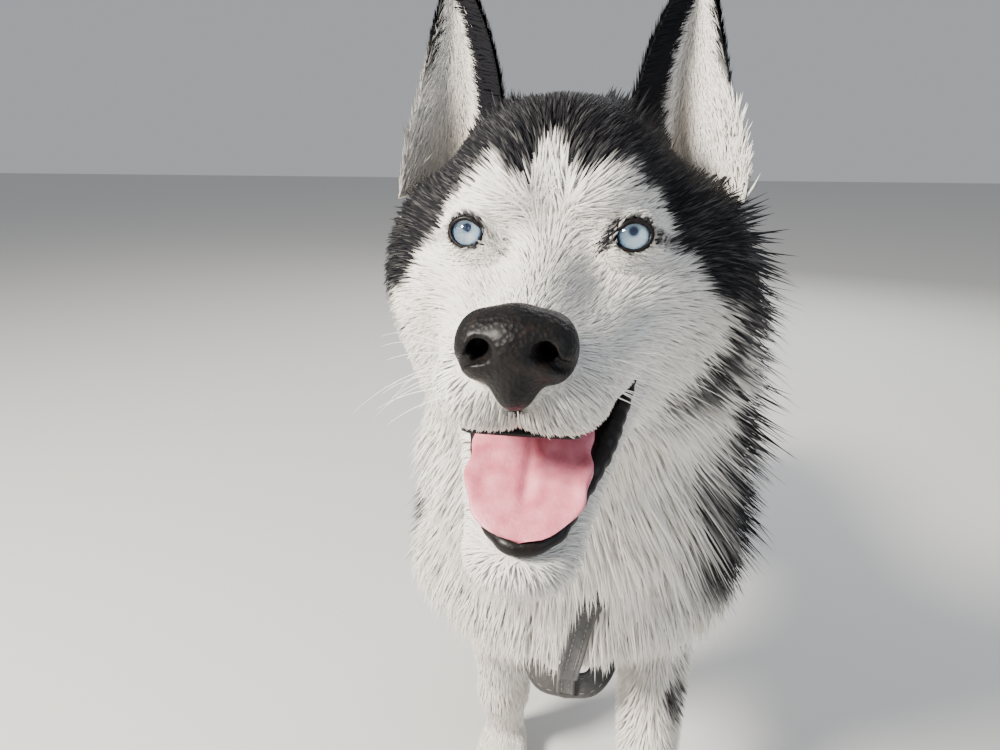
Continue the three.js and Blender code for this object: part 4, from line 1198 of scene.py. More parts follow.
def looks_of(roots):
    """The looks of the tufts on roots, varied from tuft to tuft and from place to place."""
    looks = looks_at(roots)
    h = to_head(roots)
    off_eye = smooth(lid_reach(h), 2, 16)
    looks[LONG] *= (0.3 + 0.7 * off_eye) * rng.uniform(0.78, 1.18, roots.shape[1])
    looks[WIDTH] *= rng.uniform(0.7, 1.25, roots.shape[1])
    looks[RISE] *= 0.2 + 0.8 * off_eye
    # the ruff and the cheek stand out more on the left side
    ruff = smooth(np.abs(roots[0]), 40, 85) * smooth(roots[2], 470, 530) * smooth(-roots[1], 40, 120)
    looks[RISE] *= np.where(roots[0] > 0, 1 + 0.75 * ruff, 1 - 0.35 * ruff)
    cheek = smooth(h[1], 30, 60) * smooth(roots[2], 590, 640) * smooth(-roots[1], 200, 250)
    looks[RISE] *= np.where(roots[0] > 0, 1 + 0.3 * cheek, 1 - 0.7 * cheek)
    # longer hair covers the feet of the ears
    outward = np.array([np.abs(h[0]), h[1], h[2]])
    to_ear = np.minimum(*(length(outward - column(*end)) for end in EAR_FOOT))
    by_ear = smooth(-to_ear, -27, -8)
    looks[RISE] += 9 * by_ear
    looks[LONG] *= 1 + 0.9 * by_ear
    # short hair above the girth's loose loop
    fringe = smooth(-roots[2], -442, -382) * smooth(-roots[1], 90, 120)
    fringe = fringe * smooth(-np.abs(roots[0] - 8), -64, -46)
    looks[RISE] += (-8 - looks[RISE]) * fringe
    looks[LONG] *= 1 - 0.7 * fringe
    return looks


def coat():
    """The coat's pieces, all but the ears' fur."""
    roots = coat_roots()
    looks = looks_of(roots)
    region = region_of(roots)
    places = on_chart(*chart_places(roots, region))
    for name, (members, rings) in COAT_PIECES.items():
        mine = np.nonzero(np.isin(region, [CHART_NAMES.index(member) for member in members]))[0]
        centres, sides, ups = grow(roots[:, mine], looks[:, mine], rings)
        fits = shorten(centres)
        mine, centres, sides, ups = mine[fits], centres[fits], sides[fits], ups[fits]
        middle, tip = centres[:, 1:-1].mean(1), centres[:, -1]
        colours = coat_colour((0.6 * middle + 0.4 * tip).T, 1.0)
        tip_colours = coat_colour(tip.T, 0.3)
        width = looks[WIDTH, mine]
        make_tufts(f"coat_{name}", centres, sides, ups, width, colours, tip_colours, places[mine])


# Nose leather
nose_forms = joined(
    [
        ball([0, -91, -35], [15.5, 13.5, 13]),
        ball([11.5, -90, -36], [8, 12, 11]),
        ball([0, -90, -47], [7.5, 10, 9]),
    ],
    5,
)
nostril = joined(
    [limb([8.5, -106, -37], [11.5, -94, -35], 4.2, 2.6), limb([11, -101, -38], [20, -92, -42.5], 2.2, 1.5)],
    2,
)
philtrum = limb([0, -105.2, -42], [0, -104.0, -62], 1.3, 1.5)


@mirrored
def nose_field(h):
    """The nose leather, with its nostrils and the groove under them."""
    d = smax(nose_forms(h) + 0.3, -nostril(h), 1.6)
    return smax(d, -philtrum(h), 1.4)


def nose_clear(h):
    """Distance from the nose leather, before its nostrils are cut."""
    return nose_forms(np.array([np.abs(h[0]), h[1], h[2]]))


NOSE_STEP = 0.9
NOSE_SPANS = (-24, 24.1), (-109, -72), (-60, -18)
nose_local, nose_faces = biggest(*net(nose_field, [np.arange(*span, NOSE_STEP) for span in NOSE_SPANS]))
NOSE = material("nose", 0.5, Coat_Weight=0.12, Coat_Roughness=0.3, Specular_IOR_Level=0.12)
pebbles = add(NOSE, "ShaderNodeTexVoronoi", Scale=620)
link(NOSE, add(NOSE, "ShaderNodeTexCoord").outputs["Object"], pebbles.inputs["Vector"])
leather = [(0.35, (0.004, 0.0037, 0.004)), (0.6, (0.007, 0.006, 0.006)), (0.75, (0.017, 0.011, 0.009))]
mottle(NOSE, 160, 4, leather)
bump(NOSE, pebbles.outputs["Distance"], 0.55, 0.0007)
nose = new_mesh("nose_leather", to_world(nose_local.T).T, nose_faces, NOSE)
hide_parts("nose")


# Smooth curves and tubes
def distance_along(path):
    return np.concatenate([[0], np.cumsum(np.linalg.norm(np.diff(path, axis=0), axis=1))])


def spline(points, count):
    """Points (count, 3), evenly spaced, on a smooth curve through points."""
    points = np.array(points, float)
    padded = np.vstack([2 * points[0] - points[1], points, 2 * points[-1] - points[-2]])
    t = np.linspace(0, 1, 24, endpoint=False)[:, None]
    made = []
    for i in range(len(points) - 1):
        a, b, c, d = padded[i : i + 4]
        bend, twist = 2 * a - 5 * b + 4 * c - d, 3 * b - a - 3 * c + d
        made.append(0.5 * (2 * b + (c - a) * t + bend * t**2 + twist * t**3))
    made = np.vstack([*made, points[-1:]])
    far = distance_along(made)
    at = np.linspace(0, far[-1], count)
    return np.stack([np.interp(at, far, made[:, axis]) for axis in range(3)], 1)


def tube(path, radii, sides=10):
    """Points and triangles of a round tube along a path (N, 3), closed at both ends."""
    path = np.asarray(path, float)
    along = np.gradient(path, axis=0)
    along /= np.linalg.norm(along, axis=1, keepdims=True)
    hint = np.array([0.12, 0.1, 1.0]) if abs(along[:, 2]).max() < 0.95 else np.array([1.0, 0.1, 0.1])
    side = np.cross(along, hint)
    side /= np.linalg.norm(side, axis=1, keepdims=True)
    up = np.cross(side, along)
    turn = np.linspace(0, 2 * np.pi, sides, endpoint=False)
    ring = side[:, None] * np.cos(turn)[None, :, None] + up[:, None] * np.sin(turn)[None, :, None]
    offset = ring * np.asarray(radii)[:, None, None]
    points = np.vstack([(path[:, None] + offset).reshape(-1, 3), path[:1], path[-1:]])
    faces = []
    n = len(path)
    for i in range(n - 1):
        for j in range(sides):
            a, b = i * sides + j, i * sides + (j + 1) % sides
            faces += [[a, b, b + sides], [a, b + sides, a + sides]]
    for j in range(sides):
        b = (j + 1) % sides
        faces += [[n * sides, b, j], [n * sides + 1, (n - 1) * sides + j, (n - 1) * sides + b]]
    return points, np.array(faces)


def together(shapes):
    """Several (points, faces) as one."""
    points, faces, start = [], [], 0
    for p, f in shapes:
        points.append(p)
        faces.append(np.asarray(f) + start)
        start += len(p)
    return np.vstack(points), np.vstack(faces)


def sheet(front, back, across_steps, along_steps):
    """A thin closed solid between two faces, each a function of grids u and v from 0 to 1."""
    u, v = np.meshgrid(np.linspace(0, 1, across_steps + 1), np.linspace(0, 1, along_steps + 1))
    sides = [np.moveaxis(face(u, v), 0, -1).reshape(-1, 3) for face in (front, back)]
    row, count = across_steps + 1, (across_steps + 1) * (along_steps + 1)
    i, j = np.meshgrid(np.arange(across_steps), np.arange(along_steps))
    a = (j * row + i).ravel()
    faces = [
        np.stack([a, a + 1, a + row + 1, a + row], 1),
        np.stack([count + a, count + a + row, count + a + row + 1, count + a + 1], 1),
    ]
    i = np.arange(across_steps)
    top = along_steps * row + i
    faces.append(np.stack([i, count + i, count + i + 1, i + 1], 1))
    faces.append(np.stack([top, top + 1, count + top + 1, count + top], 1))
    left = np.arange(along_steps) * row
    right = left + across_steps
    faces.append(np.stack([left, left + row, count + left + row, count + left], 1))
    faces.append(np.stack([right, count + right, count + right + row, right + row], 1))
    return np.vstack(sides), np.vstack(faces)


# Tongue
JAW_LINE = (LOWER_LIP - MOUTH_CORNER) / np.linalg.norm(LOWER_LIP - MOUTH_CORNER)


def on_jaw(x, s, h):
    """Head-frame points at x across, s forward of the mouth's corner and h above the jaw's line."""
    forward, down = JAW_LINE
    return rows(x, MOUTH_CORNER[0] + forward * s + down * h, MOUTH_CORNER[1] + down * s - forward * h)


TONGUE = dict(start=-4, end=80, half=23.5, thick=7, offset=1)


def faded(v, start, full, from_here, gone):
    """Rises from 0 to 1 between start and full, and falls again between from_here and gone."""
    return smooth(v, start, full) * (1 - smooth(v, from_here, gone))


def tongue_face(top):
    """The tongue's upper or under face, from its root to its tip."""

    def face(u, v):
        across = 2 * u - 1
        off_middle = np.abs(across)
        s = TONGUE["start"] + (TONGUE["end"] - TONGUE["start"]) * v
        outline = np.sqrt(np.maximum(1 - np.clip((v - 0.62) / 0.38, 0, 1) ** 2.3, 0.004))
        ripple = 0.7 * np.sin(v * 31 + 1.3 * np.sign(across)) * smooth(off_middle, 0.7, 1.0)
        ripple = ripple * smooth(v, 0.25, 0.5)
        x = TONGUE["offset"] + across * ((TONGUE["half"] - 2 * (1 - v)) * outline + ripple)
        edge = off_middle**3
        curl = 1.5 * edge * v * (1 - smooth(v, 0.8, 1))
        curl = curl + 1.6 * smooth(off_middle, 0.72, 1) * faded(v, 0.5, 0.62, 0.72, 0.9)
        groove = 2.0 * np.exp(-((across * 9) ** 2)) * np.clip(v * 3, 0, 1) * (1 - smooth(v, 0.7, 0.93))
        wrinkle = 0.2 * np.sin(across * 19 + 6 * v) * faded(v, 0.4, 0.6, 0.7, 0.88)
        upper = TONGUE["thick"] * (1 - 0.35 * v) * np.sqrt(np.maximum(1 - across**4 * 0.6, 0))
        upper = upper - groove + curl + wrinkle
        lower = 0.6 + 3.6 * edge * v
        own = upper if top else lower
        roll = np.clip((v - 0.86) / 0.14, 0, 1) ** 2
        return to_world(on_jaw(x, s, own + (0.5 * (upper + lower) - own) * roll))

    return face


TONGUE_LOOK = material(
    "tongue", 0.38, Coat_Weight=0.3, Coat_Roughness=0.3, Subsurface_Weight=0.15, Subsurface_Scale=0.004
)
pinks = [(0.3, (0.56, 0.13, 0.18)), (0.55, (0.70, 0.21, 0.27)), (0.8, (0.80, 0.31, 0.37))]
mottle(TONGUE_LOOK, 140, 4, pinks)
bump(TONGUE_LOOK, noise(TONGUE_LOOK, 900, 2), 0.35, 0.0006)
tongue = new_mesh("tongue_flesh", *sheet(tongue_face(True), tongue_face(False), 40, 56), TONGUE_LOOK)
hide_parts("tongue")

# Lips: wet black beads along the lower jaw's edge and under the upper lip
LIP = material("lip", 0.45, Coat_Weight=0.12, Coat_Roughness=0.25, Specular_IOR_Level=0.12)
mottle(LIP, 180, 4, [(0.3, (0.004, 0.0036, 0.004)), (0.75, (0.011, 0.008, 0.008))])
bump(LIP, noise(LIP, 420, 4), 0.4, 0.001)
LOWER_LIP_EDGE = [  # across, forward of the mouth's corner
    (-30, -6), (-25.5, 18), (-22, 38), (-18, 56), (-11.5, 71), (0, 79.5), (12, 73.5), (19, 58), (24.5, 40),
    (30.5, 18), (37, -4), (40, -16),
]
lip_row = spline([[x, s, 0] for x, s in LOWER_LIP_EDGE], 110)
lip_height = -1.6 + 0.4 * np.sin(lip_row[:, 1] * 0.5) + 4.0 * smooth(-lip_row[:, 1], -6, 16)
lower_lip = to_world(on_jaw(lip_row[:, 0], lip_row[:, 1], lip_height)).T
fleshy = np.exp(-(((lip_row[:, 1] - 30) / 20) ** 2)) * (lip_row[:, 0] > 0)
lip_thick = 3.1 + 0.3 * np.sin(lip_row[:, 1] * 0.9) + 2.2 * fleshy - 1.9 * smooth(-lip_row[:, 1], -10, 16)
lip_thick = lip_thick * (1 - 0.5 * smooth(-lip_row[:, 0], 4, 18))
lower_shape = tube(lower_lip, lip_thick, 14)
LIP_ROOM = 4.2  # kept free of hair round the lower lip's middle


def last_within(y, z, side, depth, count=241):
    """How far out the head reaches at y and z, at that depth under its form, from count tries."""
    across = np.linspace(0, 60, count)
    within = np.nonzero(body_field(to_world(rows(side * across, y, z))) < -depth)[0]
    return across[within[-1]] if len(within) else None


def upper_lip_path():
    """The upper lip's edge, where the flews meet the mouth's upper line, from corner to corner."""
    forward = (UPPER_LIP - MOUTH_CORNER) / np.linalg.norm(UPPER_LIP - MOUTH_CORNER)
    left = []
    for s in np.linspace(4, 92, 30):
        y, z = MOUTH_CORNER + forward * s
        x = last_within(y, z, 1, 2.6)
        if x is None:
            break
        left.append([x, y, z])
    right = np.array(left)[::-1] * [-1, 1, 1]
    return to_world(np.vstack([left, right]).T).T


upper_lip = spline(upper_lip_path(), 90)
upper_shape = tube(upper_lip, np.full(90, 1.5), 8)


def on_lips(p):
    """Whether columns of p are over the lips."""
    h = to_head(p)
    near = np.nonzero((h[1] > -108) & (h[1] < 12) & (h[2] < -50) & (h[2] > -135) & (np.abs(h[0]) < 50))[0]
    covered = np.zeros(p.shape[1], bool)
    closest = np.full(len(near), np.inf)
    for at in lower_lip:
        closest = np.minimum(closest, ((p[:, near] - at[:, None]) ** 2).sum(0))
    covered[near[closest < LIP_ROOM**2]] = True
    return covered


groove = to_level(body_field, to_world(rows(0, -118, np.linspace(-50, -70, 14))), -1.2, 8).T
groove_shape = tube(groove, np.linspace(2.6, 1.3, 14), 8)
lips = new_mesh("lips", *together([lower_shape, upper_shape, groove_shape]), LIP)


# Eyes
IRIS_R = 6.4
EYE_SIDES = 64
LID_HALF = (7.2, 5.9)  # across and up, to the middle of the lids' rims


PUPIL_AT = (0.0, 0.22, 0.0)  # in shares of the iris
EYE = material("eye", 0.3)
iris_place = attribute(EYE, "Iris").outputs["Vector"]
from_middle = add(EYE, "ShaderNodeVectorMath", operation="LENGTH")
link(EYE, iris_place, from_middle.inputs[0])
half_way = scaled(EYE, from_middle.outputs["Value"], 0.5)
from_pupil = add(EYE, "ShaderNodeVectorMath", operation="DISTANCE")
link(EYE, iris_place, from_pupil.inputs[0])
from_pupil.inputs[1].default_value = PUPIL_AT
rings = ramp(
    EYE,
    half_way,
    [
        (0.0, (0.74, 0.87, 0.96)),
        (0.33, (0.62, 0.80, 0.93)),
        (0.42, (0.22, 0.40, 0.64)),
        (0.47, (0.02, 0.04, 0.09)),
        (0.52, (0.004, 0.004, 0.005)),
        (1.0, (0.010, 0.008, 0.008)),
    ],
)
pupil = ramp(
    EYE,
    from_pupil.outputs["Value"],
    [
        (0.0, (0.012, 0.02, 0.05)),
        (0.22, (0.03, 0.05, 0.11)),
        (0.31, (0.55, 0.66, 0.78)),
        (0.42, (1.0, 1.0, 1.0)),
    ],
)
threads = noise(EYE, 2.4, 5, attribute(EYE, "Fibre").outputs["Vector"])
fibres = ramp(EYE, threads, [(0.3, (0.66, 0.74, 0.80)), (0.7, (1.0, 1.0, 1.0))])
paint(EYE, times(EYE, times(EYE, rings, fibres), pupil))
CORNEA = material("cornea", 0.02, Transmission_Weight=1.0, IOR=1.376)


def from_lid_frame(side, q):
    """From the eye's frame to the head's, for the eye on that side."""
    c, s = np.cos(EYE_SLANT), np.sin(EYE_SLANT)
    x, y, z = q[0] * c - q[2] * s, q[1], q[2] * c + q[0] * s
    c, s = np.cos(EYE_YAW), np.sin(EYE_YAW)
    x, y = x * c - y * s, y * c + x * s
    return np.array([side * (x + EYE_CENTRE[0]), y + EYE_CENTRE[1], z + EYE_CENTRE[2]])


def turned(profile, centre, axes):
    """Points and faces of a profile (radius, height) turned round the last of the axes."""
    e1, e2, axis = axes
    around = np.linspace(0, 2 * np.pi, EYE_SIDES, endpoint=False)[None, :, None]
    profile = np.array(profile)[:, None, :]
    ring = np.cos(around) * e1 + np.sin(around) * e2
    points = centre + ring * profile[..., :1] + axis * profile[..., 1:]
    index = np.arange(EYE_SIDES)
    after = (index + 1) % EYE_SIDES
    faces = []
    for row in range(len(profile) - 1):
        a = row * EYE_SIDES
        faces.append(np.stack([a + index, a + EYE_SIDES + index, a + EYE_SIDES + after, a + after], 1))
    return points.reshape(-1, 3), np.vstack(faces)


def make_eye(side):
    """An eyeball whose iris is a shallow bowl behind a clear cornea, in black rims."""
    name = "left" if side > 0 else "right"
    centre = to_world(column(side * EYE_CENTRE[0], EYE_CENTRE[1], EYE_CENTRE[2]))[:, 0]
    ahead = to_world(from_lid_frame(side, column(0, -1, 0.05)))[:, 0] - centre
    ahead /= np.linalg.norm(ahead)
    e1 = np.cross([0, 0, 1], ahead)
    e1 /= np.linalg.norm(e1)
    axes = (e1, np.cross(ahead, e1), ahead)
    flat = np.sqrt(EYEBALL_R**2 - IRIS_R**2)
    start = np.arcsin(IRIS_R / EYEBALL_R)
    profile = [(r, flat - 0.9 + 0.7 * (r / IRIS_R) ** 2) for r in np.linspace(0.02, IRIS_R, 22)]
    turns = np.linspace(start + 0.04, np.pi - 0.01, 26)
    profile += [(EYEBALL_R * np.sin(turn), EYEBALL_R * np.cos(turn)) for turn in turns]
    points, faces = turned(profile, centre, axes)
    eyeball = new_mesh(f"eyeball_{name}", points, faces, EYE)
    from_centre = points - centre
    front = (from_centre @ ahead > 0)[:, None]
    flat_place = np.stack([from_centre @ axes[0], from_centre @ axes[1], 0 * from_centre[:, 0]], 1) / IRIS_R
    set_values(eyeball, np.where(front, flat_place, 3.0), "Iris")
    around = np.arctan2(flat_place[:, 1], flat_place[:, 0])
    reach = np.linalg.norm(flat_place, axis=1)
    set_values(eyeball, np.stack([reach * 0.8, 5 * np.cos(around), 5 * np.sin(around)], 1), "Fibre")
    dome_end = start + 0.1
    dome = [
        (EYEBALL_R * np.sin(turn), EYEBALL_R * np.cos(turn) + 0.2 + 0.9 * (1 - (turn / dome_end) ** 2))
        for turn in np.linspace(0.004, dome_end, 18)
    ]
    points, faces = turned(dome, centre, axes)
    cornea = new_mesh(f"cornea_{name}", points, faces, CORNEA)
    turn = np.linspace(0, 2 * np.pi, 73)
    inner = np.maximum(-np.cos(turn) - 0.55, 0)  # the inner corner, drawn out and down
    x = LID_HALF[0] * np.cos(turn) - 5.5 * inner
    z = LID_HALF[1] * np.sin(turn) * (1 - 0.10 * np.cos(turn) ** 2) - 1.2 * inner
    y = -np.sqrt((EYEBALL_R + 0.7) ** 2 - x * x - z * z)
    rim = to_world(from_lid_frame(side, np.array([x, y, z]))).T
    thick = 0.8 + 0.3 * np.maximum(np.sin(turn), 0) + 0.6 * inner
    lids = new_mesh(f"lid_rim_{name}", *tube(rim, thick, 10), LIP)
    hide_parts(f"eye_{name}")


for side in (1, -1):
    make_eye(side)

# Claws
CLAW = material("claw", 0.35, Coat_Weight=0.2)
mottle(CLAW, 300, 3, [(0.3, (0.035, 0.028, 0.024)), (0.7, (0.10, 0.08, 0.065))])
# From the toe to the claw's tip: across for each toe, forward and height
CLAW_PATH = [(14, 4, 15), (14.2, 11, 14), (14.4, 16, 10), (14.5, 19.5, 4)]
claw_shapes = []
for side, _, _, (x, y) in LEGS.values():
    for toe in TOES:
        toe_y = y - toe_reach(toe)
        path = [[x + toe * across, toe_y - forward, height] for across, forward, height in CLAW_PATH]
        path = spline(path, 12) * [side, 1, 1]
        claw_shapes.append(tube(path, np.linspace(3.4, 0.5, 12), 10))
claws = new_mesh("claws", *together(claw_shapes), CLAW)

# Whiskers
WHISKER = material("whisker", 0.4)
mottle(WHISKER, 120, 2, [(0.3, (0.84, 0.81, 0.77)), (0.7, (0.95, 0.93, 0.90))])


def whisker_shapes():
    """Whiskers in rows on each flew, longer towards the back."""
    shapes = []
    for side in (1, -1):
        for row in range(3):
            for number in range(4):
                y, z = -80 + 12 * number + 2.5 * rng.normal(), -42 - 5.5 * row + 1.5 * rng.normal()
                reach = last_within(y, z, side, 2.5, 121)
                if reach is None:
                    continue
                root = np.array([side * reach, y, z])
                out = np.array([side * 0.9, 0.35 + 0.12 * number, -0.10 - 0.12 * row])
                out += 0.12 * rng.normal(size=3)
                out /= np.linalg.norm(out)
                far = (26 + 13 * number) * rng.uniform(0.7, 1.1)
                t = np.linspace(0, 1, 12)[:, None]
                path = root + out * far * t + np.array([0, 0.25, -0.22]) * far * t**2
                shapes.append(tube(to_world(path.T).T, np.linspace(0.24, 0.06, 12), 4))
    return shapes


whiskers = new_mesh("whiskers", *together(whisker_shapes()), WHISKER)

# Ears
EAR = dict(inner=[31, 60, 62], outer=[88, 72, 28], tip=[62, 80, 140], tip_width=6, cup=24, foot=11, thin=3.4)
EAR_SUNK = 0.06  # share of the ear's height that runs down into the head's fur
EAR_INSET = 1.2
EAR_STEPS = (26, 34)  # across and up its shell


def ear_edge(foot, tip_side, bow_out, bow_up, v):
    """An edge of the left ear's shell, bowed between its foot and its tip."""
    tip = np.array(EAR["tip"]) + [tip_side * EAR["tip_width"] / 2, 0, 0]
    bow = 4 * np.maximum(v, 0) * (1 - v)
    foot, tip = np.array(foot, float)[:, None, None], tip[:, None, None]
    return foot * (1 - v) + tip * v + rows(bow_out * bow, 0, bow_up * bow)


def ear_face(side, inside):
    """Points on the ear's shell at grids u (inner to outer edge) and v (foot to tip)."""

    def face(u, v):
        v = (1 + EAR_SUNK) * v - EAR_SUNK
        inner = ear_edge(EAR["inner"], -1, -4, 3, v)
        outer = ear_edge(EAR["outer"], 1, 1, 2, v)
        width = np.maximum(1 - v, 0.06)
        around = np.sin(np.pi * u)
        thick = EAR["foot"] + (EAR["thin"] - EAR["foot"]) * v
        depth = EAR["cup"] * around * width
        depth = depth + (EAR_INSET if inside else thick * (0.45 + 0.55 * around) - EAR_INSET)
        narrow = 0.5 + (u - 0.5) * (1 - EAR_INSET * 0.02 / np.maximum(width, 0.2))
        p = inner * (1 - narrow) + outer * narrow
        p = np.array([side * p[0], p[1] + depth, p[2] - EAR_INSET * 1.2 * v])
        shape = p.shape[1:]
        return to_world(p.reshape(3, -1)).reshape(3, *shape)

    return face


def ear_colour(u, v, inside):
    """Blackness, and share of skin pink, over the ear."""
    edge = np.minimum(u, 1 - u) * (1 - 0.55 * v)
    if not inside:
        return 0.97 * (1 - smooth(u, 0.84, 0.95) * smooth(-v, -0.66, -0.5)), np.zeros_like(u)
    rim = smooth(-u, -0.24, -0.12) + smooth(u, 0.93, 1.0) * smooth(v, 0.3, 0.6) + smooth(v, 0.78, 0.92)
    return np.clip(rim, 0, 1) * 0.95, 0.5 * smooth(edge, 0.2, 0.4) * (1 - v)


def make_ear(side):
    """An ear's shell, and the fur on both of its faces."""
    name = "left" if side > 0 else "right"
    steps_u, steps_v = EAR_STEPS
    points, faces = sheet(ear_face(side, True), ear_face(side, False), steps_u, steps_v)
    if side < 0:
        faces = faces[:, ::-1]
    shell = new_mesh(f"ear_shell_{name}", points, faces, SKIN)
    u, v = np.meshgrid(np.linspace(0, 1, steps_u + 1), np.linspace(0, 1, steps_v + 1))
    shades = []
    for inside in (True, False):
        black, pink = ear_colour(u.ravel(), v.ravel(), inside)
        black = np.clip(1.1 * black, 0, 1)
        base = WHITE * 0.85 + (BLACK - WHITE * 0.85) * black[:, None]
        shades.append(base + (PINK * 0.9 - base) * pink[:, None])
    set_colours(shell, np.vstack(shades))
    chart = EAR_CHARTS[side]
    index = corner_points(shell)
    both_u, both_v = np.tile(u.ravel(), 2), np.tile(v.ravel(), 2)
    behind = (index >= u.size) * 1.0
    set_bake_map(shell, ear_place(chart, both_u[index], both_v[index], behind))
    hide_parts(f"ear_{name}")
    for inside in (True, False):
        ear_fur(side, name, inside, chart)


def ear_place(chart, u, v, behind):
    """Places on the bake map: the ear's inside in the left half of its chart, its back in the right half."""
    u0, v0, u1, v1 = chart
    middle = (u1 - u0) / 2
    across = u0 + 0.004 + behind * middle + u * (middle - 0.012)
    return np.stack([across, v0 + 0.006 + v * (v1 - v0 - 0.012)], -1)


EAR_TUFTS = {True: 7200, False: 11000}  # inside, and on the back


def ear_fur(side, name, inside, chart):
    """Tufts on the ear's inside or back, thicker towards its foot."""
    count = EAR_TUFTS[inside]
    v = rng.random(count) ** 1.25 * 0.985
    u = rng.random(count)
    face = ear_face(side, inside)

    def at(u, v):
        return face(u[None], v[None])[:, 0]

    p = at(u, v)
    du = at(np.clip(u + 0.01, 0, 1.01), v) - at(np.clip(u - 0.01, -0.01, 1), v)
    dv = at(u, v + 0.01) - at(u, v - 0.01)
    normal = unit(np.cross(du.T, dv.T).T) * (side if inside else -side)
    normal = normal * np.sign((normal * column(0, -1 if inside else 1, 0)).sum(0) + 1e-6)
    up = unit(dv)
    across = unit(du)
    if inside:
        inner_edge = smooth(-u, -0.34, -0.02)
        outer_edge = smooth(u, 0.72, 1.0)
        fluff = outer_edge * smooth(-v, -0.5, -0.2)
        outward = 1.1 * inner_edge - 0.4 * outer_edge + (0.6 + 0.5 * (side > 0)) * fluff
        flow = up + across * outward[None] + 0.2 * rng.normal(size=p.shape)
        long = 9 + 12 * inner_edge * (1 - v) * (u > 0.2) + 5 * outer_edge * (1 - v) + 5 * fluff
        lift = 0.2 + 0.3 * inner_edge + 0.25 * fluff
        width = 0.9 + 0.3 * inner_edge + 0.4 * fluff
    else:
        flow = up + across * (0.3 * (u - 0.5))[None] + 0.09 * rng.normal(size=p.shape)
        long = 8 + 5 * (1 - v)
        lift, width = np.full((2, count), [[0.06], [0.8]])
    long = long * rng.uniform(0.75, 1.15, count)
    long = np.minimum(long, 3 + 120 * (1 - v))
    along = across_to(unit(flow), normal)
    s = STATIONS[2]
    centres = p.T[:, None] + along.T[:, None] * (s[None, :, None] * long[:, None, None])
    height = 1.4 * s[None] + (lift * long)[:, None] * s[None] ** 1.5 * rng.uniform(0.3, 1.2, count)[:, None]
    centres = centres + normal.T[:, None] * height[:, :, None]
    sides = np.repeat(unit(np.cross(along.T, normal.T).T).T[:, None], len(s), 1)
    ups = np.repeat(normal.T[:, None], len(s), 1)
    black, pink = ear_colour(u, v, inside)
    black = np.clip(1.15 * black + 0.12 * rng.normal(size=count) * (1 - black), 0, 1)
    base = WHITE * rng.uniform(0.85, 1.05, count)[:, None]
    if inside:
        tan = np.exp(-(((u - 0.45) / 0.15) ** 2)) * (1 - v) * rng.uniform(0.5, 1, count)
        base = base + (CREAM * 0.45 - base) * tan[:, None]
    colours = base + (BLACK - base) * black[:, None]
    places = ear_place(chart, u, v, 0.0 if inside else 1.0)
    part = "inside" if inside else "back"
    width = width * rng.uniform(0.8, 1.2, count)
    make_tufts(f"coat_ear_{part}_{name}", centres, sides, ups, width, colours, colours, places)


for side in (1, -1):
    make_ear(side)

# Harness. The girth hangs loose under the chest, and turns there to face forward.
STRAP_REACH = 22  # how far above and below a strap the coat is kept off it
GIRTH = [
    [0, -100, 280], [24, -93, 281], [37, -58, 286], [39, 0, 299], [46, 46, 312], [74, 70, 330],
    [106, 76, 372], [112, 70, 440], [104, 60, 520], [52, 48, 572], [0, 44, 582],
]
CHEST = [
    [17, -178, 467], [14, -197, 430], [6, -180, 372], [3, -138, 325], [1, -112, 303], [0, -104.2, 290],
    [0, -103.6, 275],
]
YOKE = [[10, -184, 483], [60, -160, 530], [92, -100, 560], [76, -50, 592], [30, -14, 600]]
BACK = [[0, -14, 590], [0, 4, 586], [0, 24, 584]]


def other_side(route):
    return [[-x, y, z] for x, y, z in route]


# Route, width and number of points of each strap
ROUTES = {
    "harness_girth": (GIRTH + other_side(GIRTH[-2:0:-1]) + [GIRTH[0]], 25, 260),
    "harness_chest": (CHEST, 17, 76),
    "harness_yoke_left": (YOKE, 20, 90),
    "harness_back": (BACK, 26, 14),
    "harness_yoke_right": (other_side(YOKE), 20, 90),
}
SHOWN_STRAPS = ["harness_girth", "harness_chest", "harness_back"]  # the yokes lie in the fur


def strap_path(name):
    """Points along a strap, laid on the body except under the chest."""
    route, _, count = ROUTES[name]
    path = spline(route, count).T
    laid = to_level(body_field, path, 0, 5)
    return (path + (laid - path) * smooth(path[2], 300, 318)).T


STRAP_PATHS = {name: strap_path(name) for name in ROUTES}


def under_straps(p, room, names=ROUTES):
    """Whether columns of p are within a strap's width and room, and near its level."""
    covered = np.zeros(p.shape[1], bool)
    for name in names:
        path = STRAP_PATHS[name]
        half = ROUTES[name][1] / 2
        low, high = path.min(0) - 30, path.max(0) + 30
        near = np.nonzero(((p.T > low) & (p.T < high)).all(1))[0]
        if len(near) == 0:
            continue
        q = p[:, near]
        closest, nearest = np.full(q.shape[1], np.inf), np.zeros(q.shape[1], int)
        for number, at in enumerate(path):
            away = ((q - at[:, None]) ** 2).sum(0)
            nearest = np.where(away < closest, number, nearest)
            closest = np.minimum(closest, away)
        out = STRAP_AXES[name][1][nearest].T
        off = q - path[nearest].T
        away = (off * out).sum(0)
        flat = off - out * away
        over = ((flat * flat).sum(0) < (half + room) ** 2) & (np.abs(away) < STRAP_REACH)
        covered[near[over]] = True
    return covered


def strap_axes(name):
    """Directions along the strap's width and out of its face, at each point of its path."""
    path = STRAP_PATHS[name]
    along = np.gradient(path, axis=0)
    if name == "harness_girth":
        along[0] = along[-1] = path[1] - path[-2]
    along = unit(along.T)
    normal = gradient(body_field, path.T, 4)
    if name == "harness_girth":
        normal = normal + (column(0, -1, 0.25) - normal) * smooth(-path[:, 2], -306, -290)
    across = unit(np.cross(normal.T, along.T).T)
    return across.T, np.cross(along.T, across.T)


